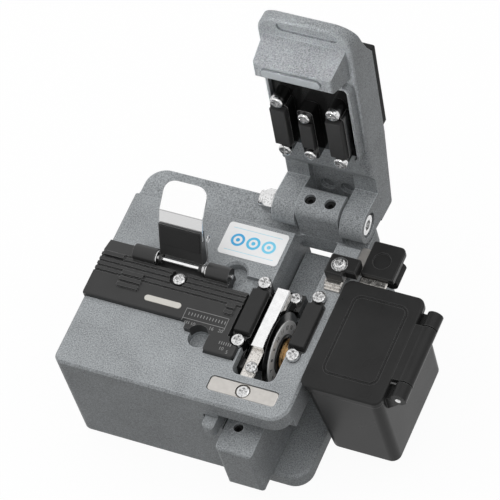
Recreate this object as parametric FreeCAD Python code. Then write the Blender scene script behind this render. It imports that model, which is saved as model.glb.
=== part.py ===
import FreeCAD, Part
import math
import os

# Fibre cleaver with a hinged press lid, a sliding blade carriage, an indexed round blade,
# a flip-over fibre clamp and a hinged scrap bin. Millimetres, +Z up, +Y towards the hinge.
# Origin: centre of the rubber pad's underside. Heights named *_H are counted from the deck.

V = FreeCAD.Vector
X_AXIS = V(1, 0, 0)
Y_AXIS = V(0, 1, 0)
Z_AXIS = V(0, 0, 1)

# ---- general fits -------------------------------------------------------------------
GAP = 0.3              # clearance between moving pieces
SEAT = 0.05            # play of a piece in the seat that it is fastened in
RUN = 0.05             # radial clearance of a shaft in its bore
OVER = 1.0             # how far a cutting tool runs past a face
PILL = 0.98            # end radius of a pill shape over its half width

# ---- housing ------------------------------------------------------------------------
HOUSING_W = 65.4       # over X
HOUSING_D = 63.8       # over Y
HOUSING_H = 34.5       # from the underside to the deck
BASE_PAD_T = 0.8       # rubber sheet under the housing
BASE_PAD_INSET = 4.0
FRONT_LEFT_R = 2.5     # corner radii seen from above
FRONT_RIGHT_R = 5.0
BACK_LEFT_R = 5.5
BACK_RIGHT_R = 3.0
DECK_BEVEL = 0.7
FLANGE_T = 4.5         # base flange under the carriage
FLANGE_BEVEL = 1.0
DECK_T = 5.4           # deck plate over the carriage
RAIL_DEPTH = 9.0       # depth of the deck's right-hand side rail
RAIL_W = 6.9
RAIL_FRONT = 4.6       # solid corner left in front of the side rail's underside
CHANNEL_W = 19.5       # channel and side rail to the right of the block
LEDGE_DROP = 2.8       # the deck steps down at the back
LEDGE_LEN = 10.5       # ledge with its cove
WINDOW_FRONT = 10.0    # deck left in front of the blade window
WINDOW_BACK = 8.7      # deck left behind it
WINDOW_MARGIN = 0.5    # window edge inside the channel's left wall
WINDOW_W = 11.9
WINDOW_R = 2.0
POCKET_R = 3.05        # round pocket behind the fibre holder
POCKET_LEFT = 10.0     # its centre from the channel's wall
POCKET_Y = 5.8
POCKET_DEPTH = 3.2
POCKET_RIM = 0.7       # bevel round its mouth
NOTCH_LEN = 5.9        # the block is cut away this far from its back, below the hinge

# ---- cutting place ------------------------------------------------------------------
CUT_IN = 7.05          # plane of the blade's edge from the channel's wall
PRESS_SHIFT = -0.25    # middle of the pads, the hinge and the lid from that plane
FIBRE_Y = -4.25        # the fibre lies along X here
FIBRE_H = 1.8          # top of the lower rubber pads above the deck

# ---- hinge --------------------------------------------------------------------------
AXIS_IN = 4.65         # axis in front of the housing's back
AXIS_H = 3.16
OPEN_DEG = 98.0        # the lid stands open by this much
HINGE_R = 1.5
BRIDGE_W = 12.0        # fixed block between the lid's lugs
BRIDGE_FRONT = 4.0     # block in front of the axis
BRIDGE_BACK = 3.8
BRIDGE_TOP = 5.8       # block above the axis
BRIDGE_EDGE_R = 3.0
BRIDGE_BACK_R = 1.2
BRIDGE_DROP = 8.7      # underside of the bridge below the deck
SETSCREW_R = 1.5
SETSCREW_L = 3.2
SETSCREW_SOCKET = 1.3
SETSCREW_SPACING = 5.6
SOCKET_DEPTH = 1.4      # hexagon socket of a set screw or the hinge bolt
NUT_AF = 5.5
NUT_L = 2.9
NUT_COLLAR_R = 2.3
NUT_COLLAR_L = 1.2
WASHER_R = 3.2
WASHER_T = 0.5
BOLT_HEAD_R = 2.75
BOLT_HEAD_L = 2.4
BOLT_HEAD_IN = 0.4     # head inside the lug's outer face
BOLT_SOCKET = 2.5
BOLT_POCKET_R = 3.4

# ---- screws -------------------------------------------------------------------------
SCREW_HEAD_R = 1.8
SCREW_HEAD_T = 1.3
SCREW_EDGE_R = 0.5
SCREW_SHANK_R = 0.95
SCREW_SHANK_L = 4.0
CROSS_W = 0.55
CROSS_L = 2.1
CROSS_DEPTH = 0.6

# ---- pads ---------------------------------------------------------------------------
PAD_SPREAD = 7.65      # pad centres from the cutting plane
PAD_W = 4.25
PAD_L = 12.8
PAD_STAND = 1.5        # rubber above its holder
PAD_SINK = 0.8         # rubber let into its holder
PAD_CUP = 0.35         # holder wall left beside the rubber
PAD_SCREW_REACH = 8.9  # screw centres from the middle of the pad
HOLDER_END = 1.7       # radius of a holder's end round its screw
HOLDER_SHOULDER = 0.9  # full width beyond the rubber
BOSS_R = 2.0           # round boss at the left holder's front, hanging in the window
BOSS_IN = 0.95         # its centre from the channel's wall
BOSS_Y = -16.9
BOSS_DROP = 2.6        # its top below the deck
BOSS_BOTTOM = 6.4      # its underside below the deck
BOSS_EDGE_R = 0.9
HOLDER_BODY = 4.4      # depth of a lower pad holder
HOLDER_CORNER = 0.8    # plan radius of a holder's shoulders
PAD_EDGE_R = 0.3
EDGE_R = 0.6

# ---- strip beside the blade ---------------------------------------------------------
STRIP_W = 3.4
STRIP_L = 17.9
STRIP_T = 1.2
STRIP_BELOW = 0.8      # strip surface below the fibre
STRIP_SIDE = 0.3       # strip to blade
STRIP_SHIFT = -0.2     # strip's middle from the fibre
CARRIER_T = 2.2
STRIP_SCREW_BACK = 3.0 # screw behind the window's front edge
STRIP_HEAD_R = 1.6
STRIP_SCREW_L = 1.1
STRIP_BEVEL = 0.2
CARRIER_STEP = 0.73    # the step for the screw below the carrier's top
STRIP_SCREW_IN = 1.1   # screw centre inside the strip's right side

# ---- strike plate -------------------------------------------------------------------
STRIKE_L = 19.1
STRIKE_W = 4.4
STRIKE_T = 1.6
STRIKE_R = 1.1
STRIKE_SHIFT = -1.0    # centre from the pads' middle
STRIKE_INSET = 5.9     # centre from the housing's front
STRIKE_LOW = 0.2       # top below the deck
STRIKE_BORE_R = 2.0
STRIKE_SCREW_L = 3.0
STRIKE_EDGE_R = 0.35

# ---- fibre holder -------------------------------------------------------------------
FH_FRONT = -11.6
FH_BACK = 5.9
FH_TOP = 1.6           # above the deck
FH_SINK = 1.8          # below the deck
FH_END_GAP = 0.35      # to the left pad holder
FH_PANEL_LEFT = 15.8   # left end of the scale panel from the channel's wall
FH_PANEL_OUT = 2.4
FH_FOOT_LEFT = 8.7     # left end of the foot from the channel's wall
FH_FOOT_OUT = 7.0
FH_FOOT_W = 8.6
FH_FINGER_SHIFT = 0.2  # finger recess inside the foot's left side
FH_FINGER_IN = 0.9     # its centre in front of the panel
FH_RIB_PITCH = 1.45
FH_RIB_COUNT = 5
FH_RIB_START = -0.2    # first groove from the fibre
FH_RIB_W = 0.6
FH_RIB_DEPTH = 0.5
FH_SHELF = 1.7         # recess under the rod below the top
FH_BACK_FLAT = 4.4     # the back slopes down behind this
FH_FINGER_R = 2.9
FH_FINGER_DEPTH = 3.0
FH_SCREW_X = -9.8
FH_SCREW_Y = -0.6
FH_SCREW_BORE_R = 2.5
FH_SCREW_LOW = 0.3     # screw head below the holder's top
FH_CORNER_R = 1.0
GRIP_COUNT = 3
GRIP_L = 6.0
GRIP_W = 1.1
GRIP_PITCH = 1.8
GRIP_H = 0.6
GRIP_X = -21.8
GRIP_Y = -5.0
END_GRIP_L = 5.6       # single bar at the holder's left end
END_GRIP_IN = 0.9
END_GRIP_Y = 1.0
STOP_COUNT = 2         # short bars beside the left pad
STOP_L = 2.4
STOP_IN = 1.3
STOP_Y = -5.7
FH_TAIL_IN = 0.2       # the holder's back ends this far right of the right barrel
FH_TAIL_RIBS = 3       # and only this many ribs go on to its right end
INSERT_X = -10.9
INSERT_Y = -8.4
INSERT_L = 10.4
INSERT_W = 1.7
INSERT_T = 0.8
INSERT_PROUD = 0.1

# ---- flip clamp ---------------------------------------------------------------------
ROD_Y = 3.45
ROD_H = 2.0
ROD_R = 0.6
BARREL_R = 2.2
BARREL_WEB = 3.3
LEFT_BARREL_IN = 8.8   # its left end from the housing's left side
LEFT_BARREL_L = 6.3
RIGHT_BARREL_LEFT = 16.1    # its left end from the channel's wall
RIGHT_BARREL_L = 6.3
ROD_END = 0.6          # rod showing past the right barrel
ROD_BLIND = 1.6        # the left barrel is closed this far
CLAMP_LEAN = 21.0      # lean of the open clamp from the vertical
CLAMP_LEN = 11.2
CLAMP_T = 2.6          # thickness at the rod
CLAMP_TIP_T = 1.8
CLAMP_START = 0.8
CLAMP_EDGE_R = 0.4
CLAMP_PAD_T = 0.6
CLAMP_PAD_PROUD = 0.2
CLAMP_PAD_L = 6.0
CLAMP_PAD_INSET = 0.5
EAR_T = 0.8
EAR_R = 1.2
CLAMP_LEFT_ROOM = 0.8  # clamp to left barrel, room for the clip
CLAMP_RIGHT_ROOM = 1.7 # clamp to right barrel, room for clip and spring
LEAF_T = 0.5
LEAF_BEND = 8.0
LEAF_TIP_BEND = 34.0
LEAF_NECK = 3.7
LEAF_TIP = 8.2
LEAF_TIP_R = 3.2
LEAF_OVERLAP = 3.0     # leaf let into the block
LEAF_WALL = 0.2        # block left between the pad and the leaf
CLIP_R = 1.9
CLIP_T = 0.35
SPRING_WIRE_R = 0.16
SPRING_TURNS = 2
SPRING_R = 1.3         # coil to wire centre
SPRING_LEG = 8.4
SPRING_HOOK_R = 0.9
SPRING_BEND_R = 0.2    # where the leg meets the loop

# ---- label --------------------------------------------------------------------------
LABEL_L = 17.0
LABEL_W = 9.8
LABEL_T = 0.15
LABEL_R = 1.0
LABEL_IN = 0.35        # label to the channel's wall
LABEL_EDGE = 1.2       # label to the ledge's cove

# ---- carriage -----------------------------------------------------------------------
TRAVEL = 14.0
TAB_OUT = 6.2          # tab in front of the housing
CARRIAGE_W = 10.2
CARRIAGE_SIDE = 0.6    # carriage to the channel's left wall
CARRIAGE_DROP = 2.4    # its top below the blade's axle
CARRIAGE_BACK = 8.5    # carriage end in front of the housing's back
CARRIAGE_LIFT = 0.5    # above the flange
TAB_EDGE_R = 1.2
TONGUE_W = 3.4
TONGUE_T = 4.2
TONGUE_OUT = 3.2
TONGUE_L = 12.0
TONGUE_GAP = 0.9
TONGUE_FOOT_L = 4.0    # foot that joins the tongue to the block
TONGUE_FOOT_W = 2.0
RAIL_BAR_W = 3.0
RAIL_BAR_H = 2.6
RAIL_BAR_FRONT = -15.4
TRUCK_W = 8.0
TRUCK_H = 4.0
TRUCK_L = 16.0
TRUCK_IN = 7.4         # its back end inside the carriage's back end
TRUCK_UNDER = 0.8      # truck above the flange
TUNNEL_FRONT = 2.0     # the carriage is hollow over the rail behind this
TAB_HOLE_R = 1.3
TAB_HOLE_IN = 7.4      # hole behind the tab's front
TAB_HOLE_DEPTH = 4.0
TAB_HOLE_X = 3.6       # from the carriage's left side
TAB_SCREW_L = 3.0

# ---- blade --------------------------------------------------------------------------
BLADE_R = 11.0
BLADE_T = 1.0
BLADE_BEVEL = 1.9
BLADE_EDGE = 0.12
BLADE_Y = -8.6         # axle at rest
RING_OUT_R = 8.9
RING_IN_R = 5.4
RING_T = 0.3
HUB_T = 0.8
HUB_NOTCHES = 16
HUB_NOTCH_R = 0.32
HUB_NOTCH_CIRCLE = 4.5
HUB_NOTCH_DEPTH = 0.48
BUSH_R = 2.4
BUSH_HEAD_R = 4.5
BUSH_END = 0.2         # bush end inside the carriage's right side
BUSH_BEVEL = 0.3
BUSH_GROOVE_W = 0.4
BUSH_GROOVE_DEPTH = 0.35
AXLE_R = 1.5
AXLE_IN = 0.4          # axle end inside the block's left side
AXLE_OUT = 0.3         # axle end past the bush
BLOCK_TOP = 5.0        # blade holder block above the axle
BLOCK_FRONT = 5.0
BLOCK_BACK = 13.4
BLOCK_TAIL = 15.6      # screw on the low tail, behind the axle
BLOCK_TAIL_END = 1.9   # tail behind its screw
BLOCK_TAIL_T = 3.2
BLOCK_TAIL_W = 4.8
BLOCK_SCREW_X = 0.7    # tail screw inside the block's right side
BLOCK_SCREW_IN = 3.0   # its depth in the carriage
BLOCK_EDGE_R = 1.5
BLOCK_T = 3.4
BLADE_ROOM = 0.7       # slot wall round the blade

# ---- lid ----------------------------------------------------------------------------
LID_W = 25.5
LID_OVERHANG = 5.7     # lip in front of the housing
LID_TAIL = 7.75        # lid behind the axis
LID_INNER = 8.4        # inner face above the deck
LID_INNER_BACK = 10.1  # inner face over the hinge, clear of the bridge's corners
LIP_TOP = 11.2
LID_TOP = 19.3
LID_BACK_TOP = 17.4
LID_BACK_BEVEL = 2.3
LID_BACK_FOOT = 1.9
LID_SHOULDER = 2.4     # height of the slope in front of the cover
LIP_L = 7.6            # finger lip
LIP_RISE = 3.0
LIP_SLOPE_L = 4.4
COVER_MARGIN = 2.0
STEP_BACK = 11.0       # the inner face rises to the hinge this far behind the tray
STEP_SLOPE = 3.0
LID_FRONT_R = 5.5
LID_BACK_R = 3.0
LID_EDGE_R = 1.0       # rounding of the lid's long edges and lip
LUG_R = 4.8
LUG_GAP = 0.35
WEDGE_SHIFT = -0.6
WEDGE_W = 21.2
WEDGE_AHEAD = 5.6      # root in front of the strike plate's middle
WEDGE_TIP_LEN = 4.6
WEDGE_BEHIND = 4.4     # and behind it
WEDGE_EDGE_R = 0.6
WEDGE_DRAFT = 1.4      # the wedge's right side leans out this much at its root
MAGNET_L = 16.2
MAGNET_W = 2.7
MAGNET_T = 1.2
MAGNET_PROUD = 0.6
LIP_SLOT_L = 16.6
LIP_SLOT_W = 3.1
LIP_SLOT_SHIFT = 1.1   # its middle from the lid's middle
LIP_SLOT_DEPTH = 0.9
LIP_SLOT_IN = 2.5
TRAY_W = 21.7          # walled tray that holds the upper pads
TRAY_WALL = 0.7
TRAY_H = 2.4
TRAY_R = 1.0
TRAY_FRONT = -19.6
TRAY_BACK = 6.2
TRAY_PLATE_T = 1.0     # black plate on the tray's floor
RELIEF_R = 2.0         # pockets in the lid over the bridge
RELIEF_DEPTH = 1.2
RELIEF_SHIFT = -0.9    # from the axis
BRIDGE_RECESS = 12.4   # roof of the room over the bridge, above the deck
COVER_W = 25.1
COVER_FRONT = -22.1
COVER_BACK = 5.8
COVER_T = 2.0
COVER_SINK = 0.7       # the lid's back is lower under its cover
COVER_BEVEL = 1.4      # slope of the cover's front edge
COVER_R = 0.5
ANVIL_W = 3.6
ANVIL_L = 8.6
ANVIL_PAD_T = 1.1
ANVIL_ABOVE = 0.7      # anvil above the fibre when the lid is closed
ANVIL_SCREW_REACH = 6.9
ANVIL_HEAD_R = 1.62
UPPER_SCREW_IN = 1.8   # upper screws beyond the tray's floor
ANVIL_EDGE_R = 0.3
ANVIL_CORNER = 1.1
ANVIL_SHIFT = -0.6     # its middle from the pads' middle
ANVIL_Y = -2.6

# ---- collector ----------------------------------------------------------------------
BIN_TOP_L = 32.6
BIN_TOP_W = 22.2
BIN_GAP = 0.15         # bin's lid to the housing
BIN_FRONT = -21.4
BIN_LID_TOP = 2.5
BIN_LID_T = 2.1
BIN_LID_LIP = 0.5      # lid beyond the bin's wall
BIN_DEPTH = 28.6
BIN_TAPER_LEFT = 2.2
BIN_TAPER = 0.6
BIN_WALL = 1.4
BIN_R = 2.4
PANEL_LEFT = 4.0       # grooved panel inside the lid's edges
PANEL_RIGHT = 3.0
PANEL_FRONT = 4.9
PANEL_BACK = 3.7
PANEL_GROOVE = 0.7
PANEL_GROOVE_DEPTH = 0.4
BIN_HINGE_OUT = 3.25   # hinge line outside the bin's lid
BIN_HINGE_H = 0.6
BIN_BARREL_R = 2.1
BIN_PIN_R = 0.8
BIN_KNUCKLE_L = 4.6
KNUCKLE_DROP = 6.0     # foot of a knuckle's web below the rim
LID_EYE_TOP = 1.7      # top of the lid's neck above the pin
PIN_OUT = 0.2          # pin past each end knuckle
BIN_BARREL_BACK = 3.0  # barrel end in front of the bin's back
BIN_BARREL_FRONT = 3.9
SCRAP_SLOT_L = 9.0
SCRAP_SLOT_H = 2.6
BRACKET_IN = 5.4       # its left side inside the housing's right side
BRACKET_W = 8.2
BRACKET_Y = 9.9
BRACKET_D = 6.2
BRACKET_TOP = 5.0
BRACKET_R = 0.6
BRACKET_BEVEL = 0.4
BRACKET_STEP_X = 5.1   # the front steps back here, clear of the bin's lid
BRACKET_STEP_Y = 1.7
FLANGE_SCREW_R = 2.15
FLANGE_SCREW_RIM = 0.5
FLANGE_SCREW_HEAD_R = 1.5
FLANGE_SCREW_X = 3.4   # from the bracket's left side
FLANGE_SCREW_L = 7.0
SHIM_COUNT = 3
SHIM_T = 0.7
SHIM_STEP = 0.54       # each shim shows this much past the one above
SHIM_W = 4.6
SHIM_REACH = 1.2
SHIM_IN = 0.2          # shims inside the bracket's left side
ARM_L = 9.0
ARM_D = 10.2
ARM_T = 1.6
ARM_PLATE_T = 1.0
ARM_PLATE_IN = 0.6     # steel plate inside the arm's front edge
ARM_PLATE_BACK = 2.0   # and inside its back edge, clear of the lid's lug
ARM_BACK_SHIFT = 3.8
ARM_TOP = 2.3
ARM_R = 0.4
PLATE_R = 0.5
ARM_BEVEL = 0.2
ARM_RECESS_R = 2.4
ARM_RECESS_DEPTH = 0.5
ARM_RECESS_X = 4.05
ARM_RECESS_Y = 4.9
ARM_CORNER = 1.6
LATCH_L = 7.2
LATCH_T = 0.8
LATCH_W = 2.0
LATCH_TOP = 1.0
LATCH_IN = 0.2         # latch inside the arm's left end
DRUM_R = 2.2
DRUM_L = 6.0
DRUM_IN = 1.6          # drum's end behind the arm's front

# ---- worked out places --------------------------------------------------------------
DECK = BASE_PAD_T + HOUSING_H
LEFT = -HOUSING_W / 2
RIGHT = HOUSING_W / 2
FRONT = -HOUSING_D / 2
BACK = HOUSING_D / 2
CHANNEL_X = RIGHT - CHANNEL_W
CUT_X = CHANNEL_X + CUT_IN
PRESS_X = CUT_X + PRESS_SHIFT
FLANGE_TOP = BASE_PAD_T + FLANGE_T
WINDOW_X0 = CHANNEL_X + WINDOW_MARGIN
WINDOW_X1 = WINDOW_X0 + WINDOW_W
WINDOW_Y0 = FRONT + WINDOW_FRONT
WINDOW_Y1 = BACK - WINDOW_BACK
LEDGE_Z = DECK - LEDGE_DROP
LEDGE_Y = BACK - LEDGE_LEN
AXIS_Y = BACK - AXIS_IN
AXIS_Z = DECK + AXIS_H
LID_FRONT = FRONT - LID_OVERHANG
LID_BACK = AXIS_Y + LID_TAIL
FIBRE_Z = DECK + FIBRE_H
BLADE_Z = FIBRE_Z - BLADE_R
CARRIAGE_X0 = CHANNEL_X + CARRIAGE_SIDE
CARRIAGE_X1 = CARRIAGE_X0 + CARRIAGE_W
CARRIAGE_MID = (CARRIAGE_X0 + CARRIAGE_X1) / 2
CARRIAGE_Z1 = BLADE_Z - CARRIAGE_DROP
ROD_Z = DECK + ROD_H
LID_X0 = PRESS_X - LID_W / 2
LID_X1 = PRESS_X + LID_W / 2
BRIDGE_X0 = PRESS_X - BRIDGE_W / 2
BRIDGE_X1 = PRESS_X + BRIDGE_W / 2
BLADE_RIGHT = CUT_X + BLADE_T / 2
HUB_RIGHT = BLADE_RIGHT + HUB_T
BIN_LEFT = RIGHT + BIN_GAP
BIN_X1 = BIN_LEFT + BIN_TOP_W
BIN_HINGE_X = BIN_X1 + BIN_HINGE_OUT
BRACKET_X = RIGHT - BRACKET_IN
BIN_BACK = BIN_FRONT + BIN_TOP_L
BIN_RIM_Z = DECK + BIN_LID_TOP - BIN_LID_T - GAP
BIN_HINGE_Z = DECK + BIN_HINGE_H
PAD_CENTRES = (PRESS_X - PAD_SPREAD, PRESS_X + PAD_SPREAD)
STRIKE_X = PRESS_X + STRIKE_SHIFT
STRIKE_Y = FRONT + STRIKE_INSET
WEDGE_ROOT_FRONT = STRIKE_Y - WEDGE_AHEAD
WEDGE_ROOT_BACK = STRIKE_Y + WEDGE_BEHIND
ANVIL_X = PRESS_X + ANVIL_SHIFT
BOSS_X = CHANNEL_X + BOSS_IN
FH_PANEL_X = CHANNEL_X - FH_PANEL_LEFT
FH_FOOT_X = CHANNEL_X - FH_FOOT_LEFT
LEFT_BARREL_X = LEFT + LEFT_BARREL_IN
RIGHT_BARREL_X = CHANNEL_X - RIGHT_BARREL_LEFT
POCKET_X = CHANNEL_X - POCKET_LEFT


# ---- shape helpers ------------------------------------------------------------------
def box(x0, x1, y0, y1, z0, z1):
    """Block between two corners."""
    return Part.makeBox(x1 - x0, y1 - y0, z1 - z0, V(x0, y0, z0))


def rod(radius, start, axis, length):
    """Round bar from a start point along an axis."""
    return Part.makeCylinder(radius, length, start, axis)


def corner_wire(x0, x1, y0, y1, z, radii):
    """Rectangle with its own radius at each corner: front left, front right, back right, back left."""
    a, b, c, d = radii
    s = math.sqrt(0.5)
    edges = []

    def line(p, q):
        if p.distanceToPoint(q) > 1e-6:
            edges.append(Part.LineSegment(p, q).toShape())

    def arc(centre, r, start_deg):
        if r > 0:
            t0 = math.radians(start_deg)
            t1 = t0 + math.pi / 4
            t2 = t0 + math.pi / 2
            pts = [centre + V(r * math.cos(t), r * math.sin(t), 0) for t in (t0, t1, t2)]
            edges.append(Part.Arc(*pts).toShape())

    line(V(x0 + a, y0, z), V(x1 - b, y0, z))
    arc(V(x1 - b, y0 + b, z), b, -90)
    line(V(x1, y0 + b, z), V(x1, y1 - c, z))
    arc(V(x1 - c, y1 - c, z), c, 0)
    line(V(x1 - c, y1, z), V(x0 + d, y1, z))
    arc(V(x0 + d, y1 - d, z), d, 90)
    line(V(x0, y1 - d, z), V(x0, y0 + a, z))
    arc(V(x0 + a, y0 + a, z), a, 180)
    return Part.Wire(edges)


def plate(x0, x1, y0, y1, z0, z1, r):
    """Flat plate with rounded corners; r is one radius or four."""
    radii = r if isinstance(r, tuple) else (r, r, r, r)
    wire = corner_wire(x0, x1, y0, y1, z0, radii)
    return Part.Face(wire).extrude(V(0, 0, z1 - z0))


def side_prism(points, x0, x1):
    """Outline of (y, z) points drawn along X."""
    ring = [V(x0, y, z) for y, z in points]
    wire = Part.makePolygon(ring + ring[:1])
    return Part.Face(wire).extrude(V(x1 - x0, 0, 0))


def soften(shape, radius, pick, bevel=False):
    """Rounds or bevels the edges that pick(edge centre, edge) chooses."""
    edges = [e for e in shape.Edges if pick(e.CenterOfMass, e)]
    if not edges:
        return shape
    made = shape.makeChamfer(radius, edges) if bevel else shape.makeFillet(radius, edges)
    return made if made.isValid() else shape


def near(a, b, tol=0.01):
    return abs(a - b) < tol


def flat_at(z):
    """Chooses the edges that lie in one level plane."""
    return lambda c, e: near(e.BoundBox.ZMin, z) and near(e.BoundBox.ZMax, z)


def along(edge, axis):
    """True for a straight edge that runs along an axis."""
    if len(edge.Vertexes) != 2:
        return False
    d = edge.Vertexes[1].Point - edge.Vertexes[0].Point
    return d.Length > 0 and abs(abs(d.normalize().dot(axis)) - 1) < 1e-6


def turned(shape, degrees, y, z):
    """Copy turned about an axis along X through (y, z)."""
    copy = shape.copy()
    copy.rotate(V(0, y, z), X_AXIS, degrees)
    return copy


def cross_screw(x, y, z, down=True, shank=SCREW_SHANK_L, head_r=SCREW_HEAD_R):
    """Pan head screw whose head's underside is at z; down says which way its shank points."""
    way = -1 if down else 1
    head = rod(head_r, V(x, y, z), V(0, 0, -way), SCREW_HEAD_T)
    top = z - way * SCREW_HEAD_T
    head = soften(head, SCREW_EDGE_R, flat_at(top))
    shaft = rod(SCREW_SHANK_R, V(x, y, z), V(0, 0, way), shank)
    screw = head.fuse(shaft)
    z0, z1 = sorted((top + way * CROSS_DEPTH, top - way * OVER))
    for lx, ly in ((CROSS_L, CROSS_W), (CROSS_W, CROSS_L)):
        screw = screw.cut(box(x - lx / 2, x + lx / 2, y - ly / 2, y + ly / 2, z0, z1))
    return screw


def screw_hole(x, y, z, down=True, shank=SCREW_SHANK_L):
    """Tool that drills the hole of a cross_screw."""
    way = -1 if down else 1
    return rod(SCREW_SHANK_R + SEAT, V(x, y, z), V(0, 0, way), shank + OVER / 2)


def hexagon(across_flats, start, axis, length):
    """Hexagonal bar along X or Z."""
    r = across_flats / math.sqrt(3)
    pts = []
    for k in range(6):
        t = math.radians(60 * k + 30)
        u, w = r * math.cos(t), r * math.sin(t)
        pts.append(start + (V(0, u, w) if abs(axis.x) > 0.5 else V(u, w, 0)))
    wire = Part.makePolygon(pts + pts[:1])
    return Part.Face(wire).extrude(axis * length)


def cut_all(shape, tools):
    for tool in tools:
        shape = shape.cut(tool)
    return shape


def group(shapes):
    return Part.makeCompound(shapes)


# ---- housing ------------------------------------------------------------------------
def housing_shell():
    """Block, deck and flange as one casting before its seats are cut."""
    radii = (FRONT_LEFT_R, FRONT_RIGHT_R, BACK_RIGHT_R, BACK_LEFT_R)
    body = plate(LEFT, RIGHT, FRONT, BACK, BASE_PAD_T, DECK, radii)
    body = soften(body, DECK_BEVEL, flat_at(DECK), bevel=True)
    body = cut_all(body, ledge_tools())
    under_deck = box(CHANNEL_X, RIGHT - RAIL_W, FRONT - OVER, WINDOW_Y1, FLANGE_TOP, DECK - DECK_T)
    under_front = box(CHANNEL_X, RIGHT + OVER, FRONT - OVER, FRONT + RAIL_FRONT, FLANGE_TOP, DECK - DECK_T)
    under_rail = box(CHANNEL_X, RIGHT + OVER, FRONT - OVER, WINDOW_Y1, FLANGE_TOP, DECK - RAIL_DEPTH)
    under_back = box(CHANNEL_X, RIGHT + OVER, WINDOW_Y1 - OVER, BACK + OVER, FLANGE_TOP, DECK - BRIDGE_DROP)
    notch = box(LID_X0, CHANNEL_X + OVER, BACK - NOTCH_LEN, BACK + OVER, FLANGE_TOP, DECK - BRIDGE_DROP)
    body = cut_all(body, [under_deck, under_front, under_rail, under_back, notch])
    body = soften(body, FLANGE_BEVEL, flange_edge)
    window = plate(WINDOW_X0, WINDOW_X1, WINDOW_Y0, WINDOW_Y1, DECK - RAIL_DEPTH, DECK + OVER, WINDOW_R)
    return body.cut(window)


def ledge_tools():
    """Tools that lower the deck at the back, with a cove against the step."""
    foot = LEDGE_Y + LEDGE_DROP
    flat = box(LEFT - OVER, RIGHT + OVER, foot, BACK + OVER, LEDGE_Z, DECK + OVER)
    cove = rod(LEDGE_DROP, V(LEFT - OVER, foot, DECK), X_AXIS, HOUSING_W + 2 * OVER)
    over = box(LEFT - OVER, RIGHT + OVER, LEDGE_Y, foot, DECK, DECK + OVER)
    return [flat, cove, over]


def flange_edge(centre, edge):
    """The flange's top edge along its right side and right-hand corners."""
    level = near(edge.BoundBox.ZMin, FLANGE_TOP) and near(edge.BoundBox.ZMax, FLANGE_TOP)
    return level and edge.BoundBox.XMax > RIGHT - FRONT_RIGHT_R - 0.1 and centre.x > CHANNEL_X + CARRIAGE_W


def hinge_bridge():
    """Fixed block that carries the axle, with its two set screw holes."""
    y0 = AXIS_Y - BRIDGE_FRONT
    y1 = AXIS_Y + BRIDGE_BACK
    top = AXIS_Z + BRIDGE_TOP
    block = box(BRIDGE_X0, BRIDGE_X1, y0, y1, DECK - BRIDGE_DROP, top)
    block = soften(block, BRIDGE_EDGE_R, lambda c, e: near(c.z, top) and near(c.y, y0) and along(e, X_AXIS))
    return soften(block, BRIDGE_BACK_R, lambda c, e: near(c.z, top) and near(c.y, y1) and along(e, X_AXIS))


def setscrew_places():
    half = SETSCREW_SPACING / 2
    return [PRESS_X - half, PRESS_X + half]


def pad_holder_outline(x, z0, z1, room=0.0):
    """Long block under a pad with a narrow round end for each screw; room widens it into its seat."""
    w = PAD_W / 2 + PAD_CUP + room
    h = PAD_L / 2 + HOLDER_SHOULDER + room
    body = plate(x - w, x + w, FIBRE_Y - h, FIBRE_Y + h, z0, z1, HOLDER_CORNER + room)
    r = HOLDER_END + room
    neck = box(x - r, x + r, FIBRE_Y - PAD_SCREW_REACH, FIBRE_Y + PAD_SCREW_REACH, z0, z1)
    ends = [rod(r, V(x, FIBRE_Y + s * PAD_SCREW_REACH, z0), Z_AXIS, z1 - z0) for s in (-1, 1)]
    return body.fuse([neck] + ends).removeSplitter()


def boss_shape(room=0.0):
    """Round boss of the left holder."""
    z1 = DECK - BOSS_DROP
    z0 = DECK - BOSS_BOTTOM
    boss = rod(BOSS_R + room, V(BOSS_X, BOSS_Y, z0 - room), Z_AXIS, z1 - z0 + room)
    return boss if room else soften(boss, BOSS_EDGE_R, flat_at(z1))


def lower_pad_zs():
    top = FIBRE_Z - PAD_STAND
    return top - HOLDER_BODY, top


def holder_seat():
    """Room in the deck for the fibre holder, its panel, its foot and the finger recess."""
    z0 = DECK - FH_SINK
    z1 = DECK + OVER
    y0 = FH_FRONT - SEAT
    main = box(LEFT - OVER, PAD_CENTRES[0], y0, FH_BACK + SEAT, z0, z1)
    panel = box(FH_PANEL_X - SEAT, PAD_CENTRES[0], y0 - FH_PANEL_OUT, FH_FRONT + OVER, z0, z1)
    foot = box(FH_FOOT_X - SEAT, FH_FOOT_X + FH_FOOT_W + SEAT, y0 - FH_FOOT_OUT, FH_FRONT, z0, z1)
    return [main, panel, foot]


def finger_place():
    return V(FH_FOOT_X - FH_FINGER_R + FH_FINGER_SHIFT, FH_FRONT - FH_PANEL_OUT - FH_FINGER_IN, 0)


def holder_screw_z():
    """Underside of the fibre holder's screw head."""
    return DECK + FH_TOP - SCREW_HEAD_T - FH_SCREW_LOW


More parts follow.
